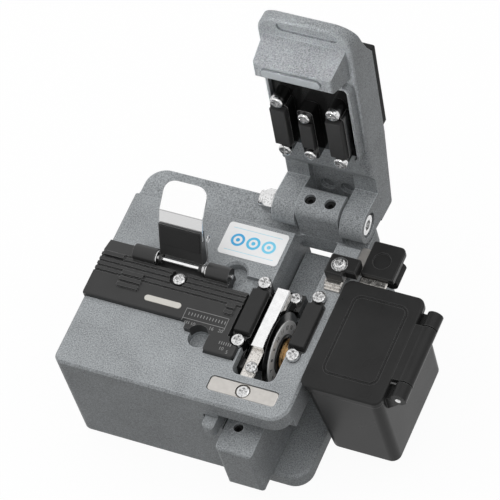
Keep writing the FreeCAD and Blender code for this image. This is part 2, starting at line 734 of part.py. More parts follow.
def make_housing():
    body = housing_shell().fuse(hinge_bridge())
    tools = holder_seat()
    p = finger_place()
    tools.append(rod(FH_FINGER_R, V(p.x, p.y, DECK - FH_FINGER_DEPTH), Z_AXIS, FH_FINGER_DEPTH + OVER))
    tools.append(rod(POCKET_R, V(POCKET_X, POCKET_Y, DECK - POCKET_DEPTH), Z_AXIS, POCKET_DEPTH + OVER))
    mouth = V(POCKET_X, POCKET_Y, DECK - POCKET_RIM)
    tools.append(Part.makeCone(POCKET_R, POCKET_R + 2 * POCKET_RIM, 2 * POCKET_RIM, mouth, Z_AXIS))
    z0, z1 = lower_pad_zs()
    for x in PAD_CENTRES:
        tools.append(pad_holder_outline(x, z0 - SEAT, DECK + OVER, SEAT))
    tools.append(boss_shape(SEAT))
    tools.append(box(PAD_CENTRES[0] - SEAT, BOSS_X, BOSS_Y - BOSS_R / 2 - SEAT, FIBRE_Y - PAD_SCREW_REACH,
                     z0 - SEAT, DECK - BOSS_DROP + SEAT))
    for x, y in lower_screw_places():
        tools.append(screw_hole(x, y, z1, shank=HOLDER_BODY))
    tools.append(plate(STRIKE_X - STRIKE_L / 2 - SEAT, STRIKE_X + STRIKE_L / 2 + SEAT,
                       STRIKE_Y - STRIKE_W / 2 - SEAT, STRIKE_Y + STRIKE_W / 2 + SEAT,
                       DECK - STRIKE_LOW - STRIKE_T, DECK + OVER, STRIKE_R + SEAT))
    tools.append(screw_hole(STRIKE_X, STRIKE_Y, strike_screw_z(), shank=STRIKE_SCREW_L))
    tools.append(screw_hole(FH_SCREW_X, FH_SCREW_Y, holder_screw_z()))
    tools.append(tongue_slot())
    tools.append(rod(HINGE_R + RUN, V(BRIDGE_X0 - OVER, AXIS_Y, AXIS_Z), X_AXIS, BRIDGE_W + 2 * OVER))
    for x in setscrew_places():
        tools.append(rod(SETSCREW_R + SEAT, V(x, AXIS_Y, AXIS_Z + HINGE_R / 2), Z_AXIS, BRIDGE_TOP))
    tools.append(screw_hole(BRACKET_X + FLANGE_SCREW_X, bracket_mid_y(), DECK, shank=flange_screw_deep()))
    return cut_all(body, tools)


def tongue_slot():
    """Slot beside the channel that the carriage's tongue slides in."""
    x0 = CARRIAGE_X0 - TONGUE_GAP - TONGUE_W - 2 * GAP
    z1 = CARRIAGE_Z1 + TONGUE_T + 2 * GAP
    z0 = CARRIAGE_Z1 - 2 * GAP
    y1 = FRONT - TONGUE_OUT + TONGUE_L + TRAVEL + OVER
    return box(x0, CHANNEL_X + OVER, FRONT - OVER, y1, z0, z1)


def make_base_pad():
    i = BASE_PAD_INSET
    return plate(LEFT + i, RIGHT - i, FRONT + i, BACK - i, 0, BASE_PAD_T, FRONT_LEFT_R)


# ---- hinge hardware -----------------------------------------------------------------
def bolt_pocket_x():
    """Underside of the bolt's head."""
    return LID_X1 - BOLT_HEAD_L - BOLT_HEAD_IN


def make_hinge_bolt():
    """Axle with a socket head in the right lug and a threaded end for the nut."""
    head_x = bolt_pocket_x()
    start = nut_x1() - NUT_L - NUT_COLLAR_L
    shaft = rod(HINGE_R, V(start, AXIS_Y, AXIS_Z), X_AXIS, head_x - start)
    head = rod(BOLT_HEAD_R, V(head_x, AXIS_Y, AXIS_Z), X_AXIS, BOLT_HEAD_L)
    socket_x = head_x + BOLT_HEAD_L - SOCKET_DEPTH
    socket = hexagon(BOLT_SOCKET, V(socket_x, AXIS_Y, AXIS_Z), X_AXIS, SOCKET_DEPTH + OVER)
    return shaft.fuse(head).cut(socket)


def make_hinge_nut():
    """Locking nut with its round collar on the axle's left end."""
    x1 = nut_x1()
    x0 = x1 - NUT_L - NUT_COLLAR_L
    nut = hexagon(NUT_AF, V(x1 - NUT_L, AXIS_Y, AXIS_Z), X_AXIS, NUT_L)
    narrow = NUT_AF / 2
    round_off = Part.makeCone(narrow + NUT_L / 2, narrow, NUT_L, V(x1, AXIS_Y, AXIS_Z), -X_AXIS)
    nut = nut.common(round_off)
    collar = rod(NUT_COLLAR_R, V(x0, AXIS_Y, AXIS_Z), X_AXIS, NUT_COLLAR_L)
    bore = rod(HINGE_R + SEAT, V(x0 - OVER, AXIS_Y, AXIS_Z), X_AXIS, x1 - x0 + 2 * OVER)
    return nut.fuse(collar).cut(bore)


def nut_x1():
    """Face of the nut that meets the washer."""
    return LID_X0 - LUG_GAP - WASHER_T


def make_hinge_washer():
    x1 = LID_X0 - LUG_GAP
    ring = rod(WASHER_R, V(x1 - WASHER_T, AXIS_Y, AXIS_Z), X_AXIS, WASHER_T)
    return ring.cut(rod(HINGE_R + SEAT, V(x1 - WASHER_T - OVER, AXIS_Y, AXIS_Z), X_AXIS, WASHER_T + 2 * OVER))


def make_set_screws():
    """Two socket set screws that hold the axle in the bridge."""
    made = []
    z0 = AXIS_Z + HINGE_R + RUN
    for x in setscrew_places():
        pin = rod(SETSCREW_R, V(x, AXIS_Y, z0), Z_AXIS, SETSCREW_L)
        made.append(pin.cut(hexagon(SETSCREW_SOCKET, V(x, AXIS_Y, z0 + SETSCREW_L - SOCKET_DEPTH), Z_AXIS,
                                     SOCKET_DEPTH + OVER)))
    return group(made)


# ---- lower pads and strips ----------------------------------------------------------
def lower_screw_places():
    return [(x, FIBRE_Y + s * PAD_SCREW_REACH) for x in PAD_CENTRES for s in (-1, 1)]


def make_pad_holder(x, z0, z1, pad_z, screw_z, down):
    """Holder between z0 and z1 with a cup for its rubber and two screw holes."""
    block = pad_holder_outline(x, z0, z1)
    cup0, cup1 = sorted((pad_z, pad_z + (2 * OVER if down else -2 * OVER)))
    block = block.cut(box(x - PAD_W / 2 - SEAT, x + PAD_W / 2 + SEAT, FIBRE_Y - PAD_L / 2 - SEAT,
                          FIBRE_Y + PAD_L / 2 + SEAT, cup0, cup1))
    for s in (-1, 1):
        block = block.cut(screw_hole(x, FIBRE_Y + s * PAD_SCREW_REACH, screw_z, down, z1 - z0 + OVER))
    return block


def make_lower_holder(x):
    z0, z1 = lower_pad_zs()
    holder = make_pad_holder(x, z0, z1, z1 - PAD_SINK, z1, True)
    if near(x, PAD_CENTRES[0]):
        arm = box(x, BOSS_X, BOSS_Y - BOSS_R / 2, FIBRE_Y - PAD_SCREW_REACH, z0, DECK - BOSS_DROP)
        holder = holder.fuse([arm, boss_shape()]).removeSplitter()
        holder = holder.cut(screw_hole(x, FIBRE_Y - PAD_SCREW_REACH, z1, True, HOLDER_BODY + OVER))
    return holder


def make_rubber(x, z0, z1, face_z):
    pad = box(x - PAD_W / 2, x + PAD_W / 2, FIBRE_Y - PAD_L / 2, FIBRE_Y + PAD_L / 2, z0, z1)
    return soften(pad, PAD_EDGE_R, flat_at(face_z))


def make_lower_rubber(x):
    z1 = lower_pad_zs()[1]
    return make_rubber(x, z1 - PAD_SINK, FIBRE_Z, FIBRE_Z)


def make_lower_screws():
    z = lower_pad_zs()[1]
    return group([cross_screw(x, y, z, shank=HOLDER_BODY) for x, y in lower_screw_places()])


def strip_x1():
    return CUT_X - BLADE_T / 2 - STRIP_SIDE


def strip_top():
    return FIBRE_Z - STRIP_BELOW


def make_strip():
    """Polished bar beside the blade, level with the pads."""
    x1 = strip_x1()
    mid = FIBRE_Y + STRIP_SHIFT
    bar = box(x1 - STRIP_W, x1, mid - STRIP_L / 2, mid + STRIP_L / 2, strip_top() - STRIP_T, strip_top())
    return soften(bar, STRIP_BEVEL, flat_at(strip_top()), bevel=True)


def make_strip_carrier():
    """Arm from the window's front edge that carries the strip, with a low step for its screw."""
    x1 = strip_x1()
    z1 = strip_top() - STRIP_T
    back = FIBRE_Y + STRIP_SHIFT + STRIP_L / 2
    step = FIBRE_Y + STRIP_SHIFT - STRIP_L / 2
    arm = box(x1 - STRIP_W, x1, step, back, z1 - CARRIER_T, z1)
    low = box(x1 - STRIP_W, x1, WINDOW_Y0, step, z1 - CARRIER_T, z1 - CARRIER_STEP)
    arm = arm.fuse(low)
    x = x1 - STRIP_SCREW_IN
    y = WINDOW_Y0 + STRIP_SCREW_BACK
    return arm.cut(screw_hole(x, y, z1 - CARRIER_STEP, shank=STRIP_SCREW_L))


def make_strip_screw():
    x = strip_x1() - STRIP_SCREW_IN
    z = strip_top() - STRIP_T - CARRIER_STEP
    return cross_screw(x, WINDOW_Y0 + STRIP_SCREW_BACK, z, shank=STRIP_SCREW_L, head_r=STRIP_HEAD_R)


def strike_screw_z():
    return DECK - STRIKE_LOW - SCREW_HEAD_T


def make_strike_plate():
    top = DECK - STRIKE_LOW
    bar = plate(STRIKE_X - STRIKE_L / 2, STRIKE_X + STRIKE_L / 2, STRIKE_Y - STRIKE_W / 2,
                STRIKE_Y + STRIKE_W / 2, top - STRIKE_T, top, STRIKE_R)
    bar = soften(bar, STRIKE_EDGE_R, flat_at(top))
    bore = rod(STRIKE_BORE_R, V(STRIKE_X, STRIKE_Y, strike_screw_z()), Z_AXIS, 2 * OVER)
    return cut_all(bar, [bore, screw_hole(STRIKE_X, STRIKE_Y, strike_screw_z())])


def make_strike_screw():
    return cross_screw(STRIKE_X, STRIKE_Y, strike_screw_z(), shank=STRIKE_SCREW_L)


# ---- fibre holder and its clamp -----------------------------------------------------
def holder_right():
    return PAD_CENTRES[0] - PAD_W / 2 - PAD_CUP - FH_END_GAP


def barrel(x, length):
    """Knuckle on the holder's shelf that carries one end of the rod."""
    top = DECK - FH_SINK
    tube = rod(BARREL_R, V(x, ROD_Y, ROD_Z), X_AXIS, length)
    web = box(x, x + length, ROD_Y - BARREL_WEB / 2, ROD_Y + BARREL_WEB / 2, top, ROD_Z)
    return tube.fuse(web)


def make_fibre_holder():
    """Ribbed bar with the scale panel, the foot, the grips and the two knuckles."""
    z0 = DECK - FH_SINK
    z1 = DECK + FH_TOP
    right = holder_right()
    bar = box(LEFT, right, FH_FRONT, FH_BACK, z0, z1)
    panel_y = FH_FRONT - FH_PANEL_OUT
    panel = box(FH_PANEL_X, right, panel_y, FH_FRONT + OVER, z0, z1)
    foot = box(FH_FOOT_X, FH_FOOT_X + FH_FOOT_W, FH_FRONT - FH_FOOT_OUT, panel_y + OVER, z0, z1)
    shape = bar.fuse([panel, foot]).removeSplitter()
    front = FH_FRONT - FH_FOOT_OUT
    shape = soften(shape, FH_CORNER_R, lambda c, e: along(e, Z_AXIS) and near(c.y, front))
    top_edges = lambda c, e: near(c.z, z1) and (near(c.y, FH_FRONT) or near(c.y, front)) and along(e, X_AXIS)
    shape = soften(shape, EDGE_R, top_edges)
    p = finger_place()
    tools = [rod(FH_FINGER_R, V(p.x, p.y, z0 - OVER), Z_AXIS, FH_SINK + FH_TOP + 2 * OVER)]
    tools.append(pad_holder_outline(PAD_CENTRES[0], z0 - OVER, z1 + OVER, FH_END_GAP))
    screw = V(PAD_CENTRES[0], FIBRE_Y - PAD_SCREW_REACH, z0 - OVER)
    tools.append(rod(SCREW_HEAD_R + FH_END_GAP, screw, Z_AXIS, z1 - z0 + 2 * OVER))
    tools.append(rod(POCKET_R, V(POCKET_X, POCKET_Y, z0 - OVER), Z_AXIS, z1 - z0 + 2 * OVER))
    rib_y = FIBRE_Y + FH_RIB_START
    shelf = ROD_Y - CLIP_R - GAP
    for k in range(FH_RIB_COUNT):
        y = rib_y + k * FH_RIB_PITCH
        tools.append(box(LEFT - OVER, right + OVER, y, y + FH_RIB_W, z1 - FH_RIB_DEPTH, z1 + OVER))
    recess_x0 = LEFT_BARREL_X + LEFT_BARREL_L
    tools.append(box(recess_x0, RIGHT_BARREL_X, shelf, FH_BACK + OVER, z1 - FH_SHELF, z1 + OVER))
    slope = FH_BACK - FH_BACK_FLAT
    behind = FH_BACK + OVER
    slope_tool = side_prism([(slope, z1), (behind, DECK), (behind, z1 + OVER), (slope, z1 + OVER)],
                            LEFT - OVER, right + OVER)
    tools.append(slope_tool)
    tail_y = rib_y + FH_TAIL_RIBS * FH_RIB_PITCH + FH_RIB_W
    tail_x = RIGHT_BARREL_X + RIGHT_BARREL_L + FH_TAIL_IN
    tools.append(box(tail_x, right + OVER, tail_y, behind, z0 - OVER, z1 + OVER))
    tools.append(rod(FH_SCREW_BORE_R, V(FH_SCREW_X, FH_SCREW_Y, holder_screw_z()), Z_AXIS, 3 * OVER))
    tools.append(screw_hole(FH_SCREW_X, FH_SCREW_Y, holder_screw_z()))
    tools.append(insert_shape(SEAT, 2 * OVER))
    shape = cut_all(shape, tools)
    shape = shape.fuse([barrel(LEFT_BARREL_X, LEFT_BARREL_L), barrel(RIGHT_BARREL_X, RIGHT_BARREL_L)])
    shape = shape.fuse(grip_bars(z1))
    x0 = rod_x0() - SEAT
    x1 = RIGHT_BARREL_X + RIGHT_BARREL_L + OVER
    return shape.cut(rod(ROD_R + SEAT, V(x0, ROD_Y, ROD_Z), X_AXIS, x1 - x0))


def grip_bars(z1):
    """Raised bars on the holder: three for the thumb, one at its left end, two beside the pad."""
    z0 = z1 - FH_RIB_DEPTH
    places = [(GRIP_X, GRIP_Y - (k - (GRIP_COUNT - 1) / 2) * GRIP_PITCH, GRIP_L) for k in range(GRIP_COUNT)]
    places.append((LEFT + END_GRIP_IN + END_GRIP_L / 2, END_GRIP_Y, END_GRIP_L))
    stop_x = holder_right() - STOP_IN - STOP_L / 2
    places += [(stop_x, STOP_Y - (k - (STOP_COUNT - 1) / 2) * GRIP_PITCH, STOP_L) for k in range(STOP_COUNT)]
    w = GRIP_W / 2
    return [box(x - length / 2, x + length / 2, y - w, y + w, z0, z1 + GRIP_H) for x, y, length in places]


def insert_shape(room=0.0, rise=0.0):
    """Pill-shaped insert in the holder's front slope."""
    z1 = DECK + FH_TOP + INSERT_PROUD
    w = INSERT_W / 2 + room
    h = INSERT_L / 2 + room
    z0 = z1 - INSERT_T
    return plate(INSERT_X - h, INSERT_X + h, INSERT_Y - w, INSERT_Y + w, z0, z1 + rise, w * PILL)


def clamp_x0():
    return LEFT_BARREL_X + LEFT_BARREL_L + CLAMP_LEFT_ROOM


def clamp_x1():
    return RIGHT_BARREL_X - CLAMP_RIGHT_ROOM


def make_rod():
    x0 = rod_x0()
    return rod(ROD_R, V(x0, ROD_Y, ROD_Z), X_AXIS, RIGHT_BARREL_X + RIGHT_BARREL_L + ROD_END - x0)


def rod_x0():
    """The rod ends inside the left barrel."""
    return LEFT_BARREL_X + ROD_BLIND


def clamp_frame(shape):
    """Turns a clamp piece that is drawn lying towards the front (closed) to its open place."""
    return turned(shape, -(90 + CLAMP_LEAN), ROD_Y, ROD_Z)


def clamp_face():
    """Height of the closed clamp's pressing face."""
    return DECK + FH_TOP + GAP


def leaf_z():
    """Underside of the leaf where it enters the clamp block, drawn closed."""
    return clamp_face() + CLAMP_PAD_T + LEAF_WALL


def clamp_pad_shape(room=0.0):
    i = CLAMP_PAD_INSET - room
    y0 = ROD_Y - CLAMP_LEN + CLAMP_PAD_INSET
    z0 = clamp_face()
    return box(clamp_x0() + i, clamp_x1() - i, y0 - room, y0 + CLAMP_PAD_L + room, z0 - 2 * room,
               z0 + CLAMP_PAD_T + room)


def make_clamp_block():
    """Black wedge with two ears on the rod, drawn closed."""
    x0, x1 = clamp_x0(), clamp_x1()
    z0 = clamp_face() + CLAMP_PAD_PROUD
    y0 = ROD_Y - CLAMP_LEN
    y1 = ROD_Y - CLAMP_START
    block = side_prism([(y0, z0), (y1, z0), (y1, z0 + CLAMP_T), (y0, z0 + CLAMP_TIP_T)], x0, x1)
    block = soften(block, CLAMP_EDGE_R, lambda c, e: c.z > z0 + CLAMP_TIP_T / 2 and along(e, X_AXIS))
    block = block.cut(rod(EAR_R + GAP, V(x0 + EAR_T, ROD_Y, ROD_Z), X_AXIS, x1 - x0 - 2 * EAR_T))
    for x in (x0, x1 - EAR_T):
        ear = rod(EAR_R, V(x, ROD_Y, ROD_Z), X_AXIS, EAR_T)
        block = block.fuse(ear)
    block = block.cut(rod(ROD_R + RUN, V(x0 - OVER, ROD_Y, ROD_Z), X_AXIS, x1 - x0 + 2 * OVER))
    slot = box(x0 - OVER, x1 + OVER, y0 - OVER, y0 + LEAF_OVERLAP + SEAT, leaf_z() - SEAT / 2,
               leaf_z() + LEAF_T + SEAT / 2)
    return clamp_frame(cut_all(block, [slot, clamp_pad_shape(SEAT / 2)]).removeSplitter())


def make_clamp_pad():
    """Soft face of the clamp, drawn closed."""
    return clamp_frame(clamp_pad_shape())


def make_clamp_leaf():
    """Bent sheet with a round-cornered finger end, drawn closed."""
    x0, x1 = clamp_x0(), clamp_x1()
    z = leaf_z()
    y = ROD_Y - CLAMP_LEN
    root = box(x0, x1, y, y + LEAF_OVERLAP, z, z + LEAF_T)
    neck = box(x0, x1, y - LEAF_NECK, y, z, z + LEAF_T)
    fold_y = y - LEAF_NECK
    tip = plate(x0, x1, fold_y - LEAF_TIP, fold_y, z, z + LEAF_T, (LEAF_TIP_R, LEAF_TIP_R, 0, 0))
    tip = turned(tip, LEAF_BEND - LEAF_TIP_BEND, fold_y, z)
    bent = turned(neck.fuse(tip), -LEAF_BEND, y, z)
    joints = rod(LEAF_T / 2, V(x0, y, z + LEAF_T / 2), X_AXIS, x1 - x0)
    fold = turned(rod(LEAF_T / 2, V(x0, fold_y, z + LEAF_T / 2), X_AXIS, x1 - x0), -LEAF_BEND, y, z)
    return clamp_frame(root.fuse([bent, joints, fold]).removeSplitter())


def make_spring():
    """Wire spring on the rod whose leg runs up beside the clamp block to a loop."""
    pitch = 2.1 * SPRING_WIRE_R
    start = V(SPRING_R, 0, 0)
    ring = Part.Wire(Part.makeCircle(SPRING_WIRE_R, start, Y_AXIS))
    coil = Part.Wire(Part.makeHelix(pitch, pitch * SPRING_TURNS, SPRING_R)).makePipeShell([ring], True, True)
    leg = rod(SPRING_WIRE_R, start, -Y_AXIS, SPRING_LEG)
    end = start - V(0, SPRING_LEG, 0)
    bend = Part.makeSphere(SPRING_BEND_R, end)
    loop = Part.makeTorus(SPRING_HOOK_R, SPRING_WIRE_R, end + V(SPRING_HOOK_R, 0, 0), Z_AXIS)
    spring = coil
    for piece in (leg, bend, loop):
        spring = spring.fuse(piece)
    spring.rotate(V(0, 0, 0), Y_AXIS, -90)
    spring.translate(V(clamp_x1() + 2 * SEAT + SPRING_WIRE_R + pitch * SPRING_TURNS, ROD_Y, ROD_Z))
    return clamp_frame(spring)


def make_clips():
    """Retaining clips on the rod beside the barrels."""
    made = []
    for x in (LEFT_BARREL_X + LEFT_BARREL_L + SEAT, RIGHT_BARREL_X - CLIP_T - SEAT):
        ring = rod(CLIP_R, V(x, ROD_Y, ROD_Z), X_AXIS, CLIP_T)
        made.append(ring.cut(rod(ROD_R + SEAT, V(x - OVER, ROD_Y, ROD_Z), X_AXIS, CLIP_T + 2 * OVER)))
    return group(made)


# ---- label --------------------------------------------------------------------------
def make_label():
    y1 = LEDGE_Y - LABEL_EDGE
    x1 = CHANNEL_X - LABEL_IN
    return plate(x1 - LABEL_L, x1, y1 - LABEL_W, y1, DECK, DECK + LABEL_T, LABEL_R)


# ---- carriage and blade -------------------------------------------------------------
def make_carriage():
    """Sliding block with the push tab in front and the guide tongue on its left."""
    y0 = FRONT - TAB_OUT
    y1 = BACK - CARRIAGE_BACK
    z0 = FLANGE_TOP + CARRIAGE_LIFT
    z1 = CARRIAGE_Z1
    block = box(CARRIAGE_X0, CARRIAGE_X1, y0, y1, z0, z1)
    block = soften(block, TAB_EDGE_R, lambda c, e: near(c.y, y0) and not along(e, Y_AXIS))
    tx1 = CARRIAGE_X0 - TONGUE_GAP
    tz1 = z1 + TONGUE_T
    ty0 = FRONT - TONGUE_OUT
    tongue = box(tx1 - TONGUE_W, tx1, ty0, ty0 + TONGUE_L, tz1 - TONGUE_T, tz1)
    tongue = soften(tongue, TAB_EDGE_R, lambda c, e: near(c.y, ty0) and not along(e, Y_AXIS))
    ty1 = ty0 + TONGUE_L
    foot = box(tx1 - OVER, CARRIAGE_X0 + TONGUE_FOOT_W, ty1 - TONGUE_FOOT_L, ty1, tz1 - TONGUE_T, tz1 - OVER)
    block = block.fuse([tongue, foot])
    slot0 = strip_x1() + STRIP_SIDE - BLADE_ROOM
    slot1 = HUB_RIGHT + BLADE_ROOM
    tools = [rod(BLADE_R + BLADE_ROOM, V(slot0, BLADE_Y, BLADE_Z), X_AXIS, slot1 - slot0)]
    tools.append(rod(BUSH_HEAD_R + GAP, V(slot0, BLADE_Y, BLADE_Z), X_AXIS, CARRIAGE_X1 - slot0 + OVER))
    tools.append(rod(AXLE_R + SEAT, V(CARRIAGE_X0 - OVER, BLADE_Y, BLADE_Z), X_AXIS, CARRIAGE_W + 2 * OVER))
    half = TRUCK_W / 2 + SEAT
    tools.append(box(CARRIAGE_MID - half, CARRIAGE_MID + half, FRONT + TUNNEL_FRONT, y1 + OVER, z0 - OVER,
                     FLANGE_TOP + TRUCK_UNDER + TRUCK_H))
    hole = V(tab_hole_x(), y0 + TAB_HOLE_IN, z1 - TAB_HOLE_DEPTH)
    tools.append(rod(TAB_HOLE_R, hole, Z_AXIS, TAB_HOLE_DEPTH + OVER))
    tools.append(screw_hole(blade_block_screw().x, blade_block_screw().y, z1, shank=BLOCK_SCREW_IN))
    return cut_all(block, tools).removeSplitter()


def tab_hole_x():
    return CARRIAGE_X0 + TAB_HOLE_X


def make_tab_screw():
    """Set screw in the tab's hole."""
    z0 = CARRIAGE_Z1 - TAB_HOLE_DEPTH
    p = V(tab_hole_x(), FRONT - TAB_OUT + TAB_HOLE_IN, z0)
    pin = rod(TAB_HOLE_R - SEAT, p, Z_AXIS, TAB_SCREW_L)
    socket = hexagon(SETSCREW_SOCKET, p + V(0, 0, TAB_SCREW_L - SOCKET_DEPTH), Z_AXIS, SOCKET_DEPTH + OVER)
    return pin.cut(socket)


def make_rail():
    return box(CARRIAGE_MID - RAIL_BAR_W / 2, CARRIAGE_MID + RAIL_BAR_W / 2, RAIL_BAR_FRONT, BACK - OVER,
               FLANGE_TOP, FLANGE_TOP + RAIL_BAR_H)


def make_truck():
    """Bearing truck that rides on the rail inside the carriage."""
    z0 = FLANGE_TOP + TRUCK_UNDER
    y0 = BACK - CARRIAGE_BACK - TRUCK_IN - TRUCK_L
    truck = box(CARRIAGE_MID - TRUCK_W / 2, CARRIAGE_MID + TRUCK_W / 2, y0, y0 + TRUCK_L, z0, z0 + TRUCK_H)
    half = RAIL_BAR_W / 2 + GAP
    groove = box(CARRIAGE_MID - half, CARRIAGE_MID + half, y0 - OVER, y0 + TRUCK_L + OVER, z0 - OVER,
                 FLANGE_TOP + RAIL_BAR_H + GAP)
    return truck.cut(groove)


def blade_block_x1():
    return strip_x1() + STRIP_SIDE - BLADE_ROOM - SEAT


def blade_block_screw():
    return V(blade_block_x1() - BLOCK_SCREW_X, BLADE_Y + BLOCK_TAIL, CARRIAGE_Z1 + BLOCK_TAIL_T)


def make_blade_block():
    """Black block on the carriage that holds the blade's axle from the left."""
    x1 = blade_block_x1()
    x0 = x1 - BLOCK_T
    z0 = CARRIAGE_Z1
    top = BLADE_Z + BLOCK_TOP
    tower = box(x0, x1, BLADE_Y - BLOCK_FRONT, BLADE_Y + BLOCK_BACK, z0, top)
    tower = soften(tower, BLOCK_EDGE_R, lambda c, e: near(c.z, top) and along(e, X_AXIS))
    s = blade_block_screw()
    tail = box(x0, x0 + BLOCK_TAIL_W, BLADE_Y + BLOCK_BACK - OVER, s.y + BLOCK_TAIL_END, z0, s.z)
    block = tower.fuse(tail).cut(rod(SCREW_HEAD_R + SEAT, s, Z_AXIS, BLOCK_TOP))
    block = block.cut(rod(AXLE_R + SEAT, V(x0 - OVER, BLADE_Y, BLADE_Z), X_AXIS, BLOCK_T + 2 * OVER))
    return block.cut(screw_hole(s.x, s.y, s.z, shank=BLOCK_TAIL_T + OVER))


def make_blade_block_screw():
    s = blade_block_screw()
    return cross_screw(s.x, s.y, s.z, shank=BLOCK_TAIL_T + BLOCK_SCREW_IN)


def bush_x1():
    return CARRIAGE_X1 - BUSH_END


def make_axle():
    x0 = blade_block_x1() - BLOCK_T + AXLE_IN
    return rod(AXLE_R, V(x0, BLADE_Y, BLADE_Z), X_AXIS, bush_x1() + AXLE_OUT - x0)


def make_bush():
    """Brass bush that the blade turns on, with a grooved head outside the hub."""
    x0 = CUT_X - BLADE_T / 2 - SEAT
    x1 = bush_x1()
    head_x = HUB_RIGHT + GAP
    bush = rod(BUSH_R - RUN, V(x0, BLADE_Y, BLADE_Z), X_AXIS, x1 - x0)
    bush = bush.fuse(rod(BUSH_HEAD_R, V(head_x, BLADE_Y, BLADE_Z), X_AXIS, x1 - head_x))
    bush = soften(bush, BUSH_BEVEL, lambda c, e: near(c.x, x1), bevel=True)
    groove_x = (head_x + x1 - BUSH_GROOVE_W) / 2
    groove = rod(BUSH_HEAD_R + OVER, V(groove_x, BLADE_Y, BLADE_Z), X_AXIS, BUSH_GROOVE_W)
    core = rod(BUSH_HEAD_R - BUSH_GROOVE_DEPTH, V(groove_x - OVER, BLADE_Y, BLADE_Z), X_AXIS, 3 * OVER)
    bore = rod(AXLE_R + SEAT, V(x0 - OVER, BLADE_Y, BLADE_Z), X_AXIS, x1 - x0 + 2 * OVER)
    return cut_all(bush, [groove.cut(core), bore])


def make_blade():
    """Round blade with a bevel on both sides of its edge."""
    h = BLADE_T / 2
    c = V(CUT_X, BLADE_Y, BLADE_Z)
    e = BLADE_EDGE / 2
    shoulder = BLADE_R - BLADE_BEVEL
    profile = [(-h, BUSH_R), (-h, shoulder), (-e, BLADE_R), (e, BLADE_R), (h, shoulder), (h, BUSH_R)]
    ring = [c + V(x, 0, r) for x, r in profile]
    face = Part.Face(Part.makePolygon(ring + ring[:1]))
    return face.revolve(c, X_AXIS, 360)


def make_number_ring():
    ring = rod(RING_OUT_R, V(BLADE_RIGHT, BLADE_Y, BLADE_Z), X_AXIS, RING_T)
    return ring.cut(rod(RING_IN_R, V(BLADE_RIGHT - OVER, BLADE_Y, BLADE_Z), X_AXIS, RING_T + 2 * OVER))


def make_hub():
    """Black hub with a notch for each position of the blade."""
    hub = rod(RING_IN_R - SEAT, V(BLADE_RIGHT, BLADE_Y, BLADE_Z), X_AXIS, HUB_T)
    tools = [rod(BUSH_R, V(BLADE_RIGHT - OVER, BLADE_Y, BLADE_Z), X_AXIS, HUB_T + 2 * OVER)]
    for k in range(HUB_NOTCHES):
        t = 2 * math.pi * (k + 0.5) / HUB_NOTCHES
        y = BLADE_Y + HUB_NOTCH_CIRCLE * math.cos(t)
        z = BLADE_Z + HUB_NOTCH_CIRCLE * math.sin(t)
        tools.append(rod(HUB_NOTCH_R, V(HUB_RIGHT - HUB_NOTCH_DEPTH, y, z), X_AXIS, HUB_T))
    return cut_all(hub, tools)


# ---- lid, drawn closed and then turned open -----------------------------------------
def opened(shape):
    return turned(shape, -OPEN_DEG, AXIS_Y, AXIS_Z)


def lid_profile():
    """Side outline of the lid's shell, from the lip round the top to the hinge end."""
    lip_back = LID_FRONT + LIP_L
    inner = DECK + LID_INNER
    back = DECK + LID_INNER_BACK
    top = DECK + LID_TOP
    seat = top - COVER_SINK
    back_top = DECK + LID_BACK_TOP
    return [(LID_FRONT, inner), (LID_FRONT, DECK + LIP_TOP), (lip_back, DECK + LIP_TOP + LIP_RISE),
            (lip_back + LIP_SLOPE_L, seat - LID_SHOULDER), (COVER_FRONT, seat),
            (COVER_BACK + SEAT, seat), (COVER_BACK + SEAT, top), (COVER_BACK + COVER_MARGIN, top),
            (LID_BACK - LID_BACK_BEVEL, back_top), (LID_BACK, back_top - LID_BACK_BEVEL),
            (LID_BACK, back + LID_BACK_FOOT), (LID_BACK - LID_BACK_FOOT, back),
            (TRAY_BACK + STEP_BACK, back), (TRAY_BACK + STEP_BACK - STEP_SLOPE, inner)]


def lug(x0, x1):
    """Hinge lug that hangs from the shell round the axis."""
    eye = rod(LUG_R, V(x0, AXIS_Y, AXIS_Z), X_AXIS, x1 - x0)
    neck = box(x0, x1, AXIS_Y - LUG_R, AXIS_Y + LUG_R, AXIS_Z, DECK + LID_INNER_BACK + 1)
    return eye.fuse(neck)


def wedge_tip():
    """(front, back, height) of the wedge's foot, which meets the strike plate."""
    mid = STRIKE_Y
    return mid - WEDGE_TIP_LEN / 2, mid + WEDGE_TIP_LEN / 2, DECK + GAP - SEAT + MAGNET_PROUD


def lid_wedge():
    y0, y1, z = wedge_tip()
    x0 = PRESS_X + WEDGE_SHIFT - WEDGE_W / 2
    top = DECK + LID_INNER + 1
    x1 = x0 + WEDGE_W
    shape = side_prism([(WEDGE_ROOT_FRONT, top), (WEDGE_ROOT_FRONT, DECK + LID_INNER), (y0, z), (y1, z),
                        (WEDGE_ROOT_BACK, top)], x0, x1 + WEDGE_DRAFT)
    side = [V(x1, WEDGE_ROOT_FRONT, z), V(x1 + WEDGE_DRAFT, WEDGE_ROOT_FRONT, top),
            V(x1 + WEDGE_DRAFT + OVER, WEDGE_ROOT_FRONT, z)]
    trim = Part.Face(Part.makePolygon(side + side[:1])).extrude(V(0, WEDGE_ROOT_BACK - WEDGE_ROOT_FRONT, 0))
    shape = shape.cut(trim)
    return soften(shape, WEDGE_EDGE_R, lambda c, e: near(c.z, z))


def magnet_shape(room=0.0, rise=0.0):
    z = wedge_tip()[2]
    w = MAGNET_W / 2 + room
    h = MAGNET_L / 2 + room
    return plate(STRIKE_X - h, STRIKE_X + h, STRIKE_Y - w, STRIKE_Y + w, z - MAGNET_PROUD - rise,
                 z + MAGNET_T, w * PILL)


def tray_floor():
    """Face that the upper pad holders are screwed to."""
    return DECK + LID_INNER - TRAY_PLATE_T


